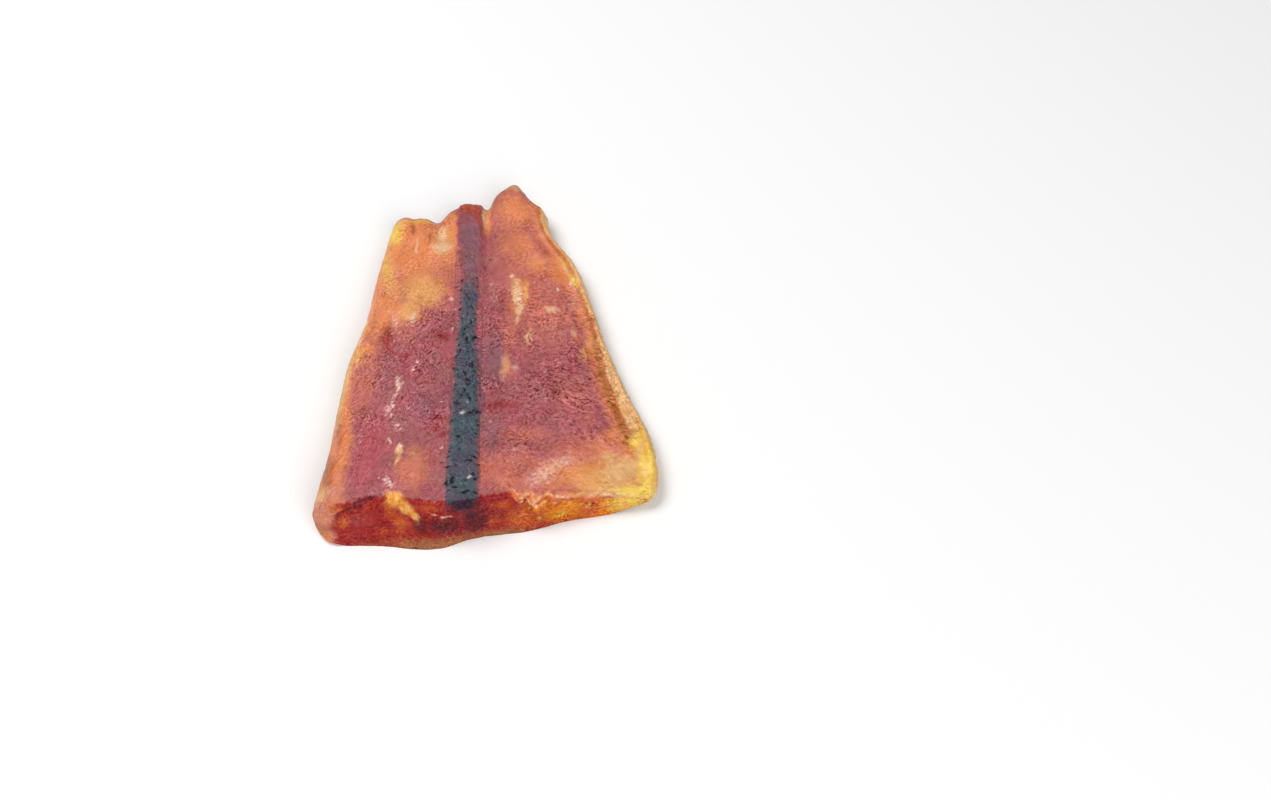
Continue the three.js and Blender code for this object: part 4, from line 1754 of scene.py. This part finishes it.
    def material(self) -> bpy.types.Material:
        """Makes the node material.

        Returns:
            The finished material.
        """
        material = bpy.data.materials.new("air_dried_salmon_flesh")
        material.use_nodes = True
        tree = material.node_tree
        tree.nodes.clear()
        noises = self.noises(tree)
        colour = self.colour(tree, noises)
        crinkle, seam = (
            add_node(tree, "Attribute", {"attribute_name": mark.value}).outputs["Fac"]
            for mark in Mark
        )
        fine = self.swing(tree, self.fine_size, self.fine_mottle_and_shade)
        broad = self.swing(tree, self.broad_size, self.broad_mottle_and_shade)
        # The crinkle that bumps the normal also scales the colour, darker in its hollows and
        # lighter on its ridges: painted shade and light over the flesh's own tone.
        height = add_node(
            tree, "Math", {"operation": "MULTIPLY_ADD"}, {0: fine, 1: crinkle, 2: broad}
        ).outputs[0]
        lit = add_node(
            tree, "Math", {"operation": "MULTIPLY_ADD", 1: self.seam_shade}, {0: seam, 2: height}
        ).outputs[0]
        shade = add_node(tree, "Math", {"operation": "ADD", 1: 1.0}, {0: lit}).outputs[0]
        # The veil is added before the shade and taken off after it, so dark paints show it too.
        lifted = add_node(
            tree, "VectorMath", {"operation": "ADD", 1: self.veil}, {0: colour}
        ).outputs[0]
        scaled = add_node(
            tree, "VectorMath", {"operation": "SCALE"}, {0: lifted, "Scale": shade}
        ).outputs[0]
        shaded = add_node(
            tree, "VectorMath", {"operation": "SUBTRACT", 1: self.veil}, {0: scaled}
        ).outputs[0]
        rough = add_node(
            tree, "MapRange", {"To Min": self.roughness[0], "To Max": self.roughness[1]},
            {"Value": noises[Grain.MIDDLE]},
        ).outputs["Result"]
        bump = add_node(
            tree, "Bump", {"Strength": self.bump_strength, "Distance": self.bump_height},
            {"Height": height},
        ).outputs[0]
        shader = add_node(
            tree, "BsdfPrincipled", self.gloss,
            {"Base Color": shaded, "Roughness": rough, "Normal": bump},
        )
        add_node(tree, "OutputMaterial", None, {"Surface": shader.outputs[0]})
        return material


@dataclass(frozen=True)
class PaleTable:
    """A table top of matt white paper, which is stage and not part of the slice."""

    size: float = 6.0
    colour: str = "#f8f8f8"
    roughness: float = 0.9

    def build(self) -> bpy.types.Object:
        """Builds the table top.

        Returns:
            The floor object.
        """
        bm = bmesh.new()
        bmesh.ops.create_grid(bm, x_segments=1, y_segments=1, size=self.size / 2)
        mesh = bpy.data.meshes.new("pale_floor")
        bm.to_mesh(mesh)
        bm.free()
        material = bpy.data.materials.new("matt_white_paper")
        material.use_nodes = True
        shader = material.node_tree.nodes["Principled BSDF"]
        shader.inputs["Base Color"].default_value = srgb(self.colour)
        shader.inputs["Roughness"].default_value = self.roughness
        mesh.materials.append(material)
        floor = bpy.data.objects.new("pale_floor", mesh)
        bpy.context.scene.collection.objects.link(floor)
        return floor


# --- Studio -------------------------------------------------------------------------------


@dataclass(frozen=True)
class Softbox:
    """A square area light that looks at the slice."""

    name: str
    place: tuple[float, float, float]
    size: float
    power: float

    def build(self) -> None:
        """Builds the light."""
        data = bpy.data.lights.new(self.name, "AREA")
        data.shape = "SQUARE"
        data.size = self.size
        data.energy = self.power
        light = bpy.data.objects.new(self.name, data)
        light.location = self.place
        light.rotation_euler = (-Vector(self.place)).to_track_quat("-Z", "Y").to_euler()
        bpy.context.scene.collection.objects.link(light)


@dataclass(frozen=True)
class Studio:
    """The camera at the photograph's viewing angle, the soft light and the white room."""

    frame_width_px: int = 1271
    focal_px: float = 2000.0
    sensor_mm: float = 36.0
    elevation: float = 55.0
    azimuth: float = -1.4
    distance: float = 0.56
    target: tuple[float, float, float] = (0.04085, -0.01335, 0.0)
    nearest: float = 0.01
    room_colour: str = "#ffffff"
    room_light: float = 0.32
    softboxes: tuple[Softbox, ...] = (
        Softbox("key_softbox", (-0.44, 0.2, 0.84), 0.5, 6.0),
        Softbox("front_softbox", (0.38, -0.68, 0.6), 0.7, 4.6),
    )

    def build_camera(self) -> None:
        """Builds the camera."""
        data = bpy.data.cameras.new("photo_camera")
        data.sensor_width = self.sensor_mm
        data.lens = self.focal_px * self.sensor_mm / self.frame_width_px
        data.clip_start = self.nearest
        turn, rise = math.radians(self.azimuth), math.radians(self.elevation)
        away = Vector(
            (math.sin(turn) * math.cos(rise), -math.cos(turn) * math.cos(rise), math.sin(rise))
        )
        camera = bpy.data.objects.new("photo_camera", data)
        camera.location = Vector(self.target) + away * self.distance
        camera.rotation_euler = (-away).to_track_quat("-Z", "Y").to_euler()
        bpy.context.scene.collection.objects.link(camera)
        bpy.context.scene.camera = camera

    def build(self) -> None:
        """Builds the camera, the lights and the world."""
        self.build_camera()
        for softbox in self.softboxes:
            softbox.build()
        world = bpy.data.worlds.new("white_room")
        world.use_nodes = True
        background = world.node_tree.nodes["Background"]
        background.inputs["Color"].default_value = srgb(self.room_colour)
        background.inputs["Strength"].default_value = self.room_light
        bpy.context.scene.world = world
        bpy.context.scene.view_settings.view_transform = "Standard"


def main() -> None:
    """Builds the studio, the table and the slice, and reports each."""
    logging.basicConfig(level=logging.INFO, format="%(name)s: %(message)s")
    Studio().build()
    for piece in (PaleTable().build(), FilletSlice().build()):
        log.info("%s: %d faces", piece.name, len(piece.data.polygons))


if __name__ == "__main__":
    main()
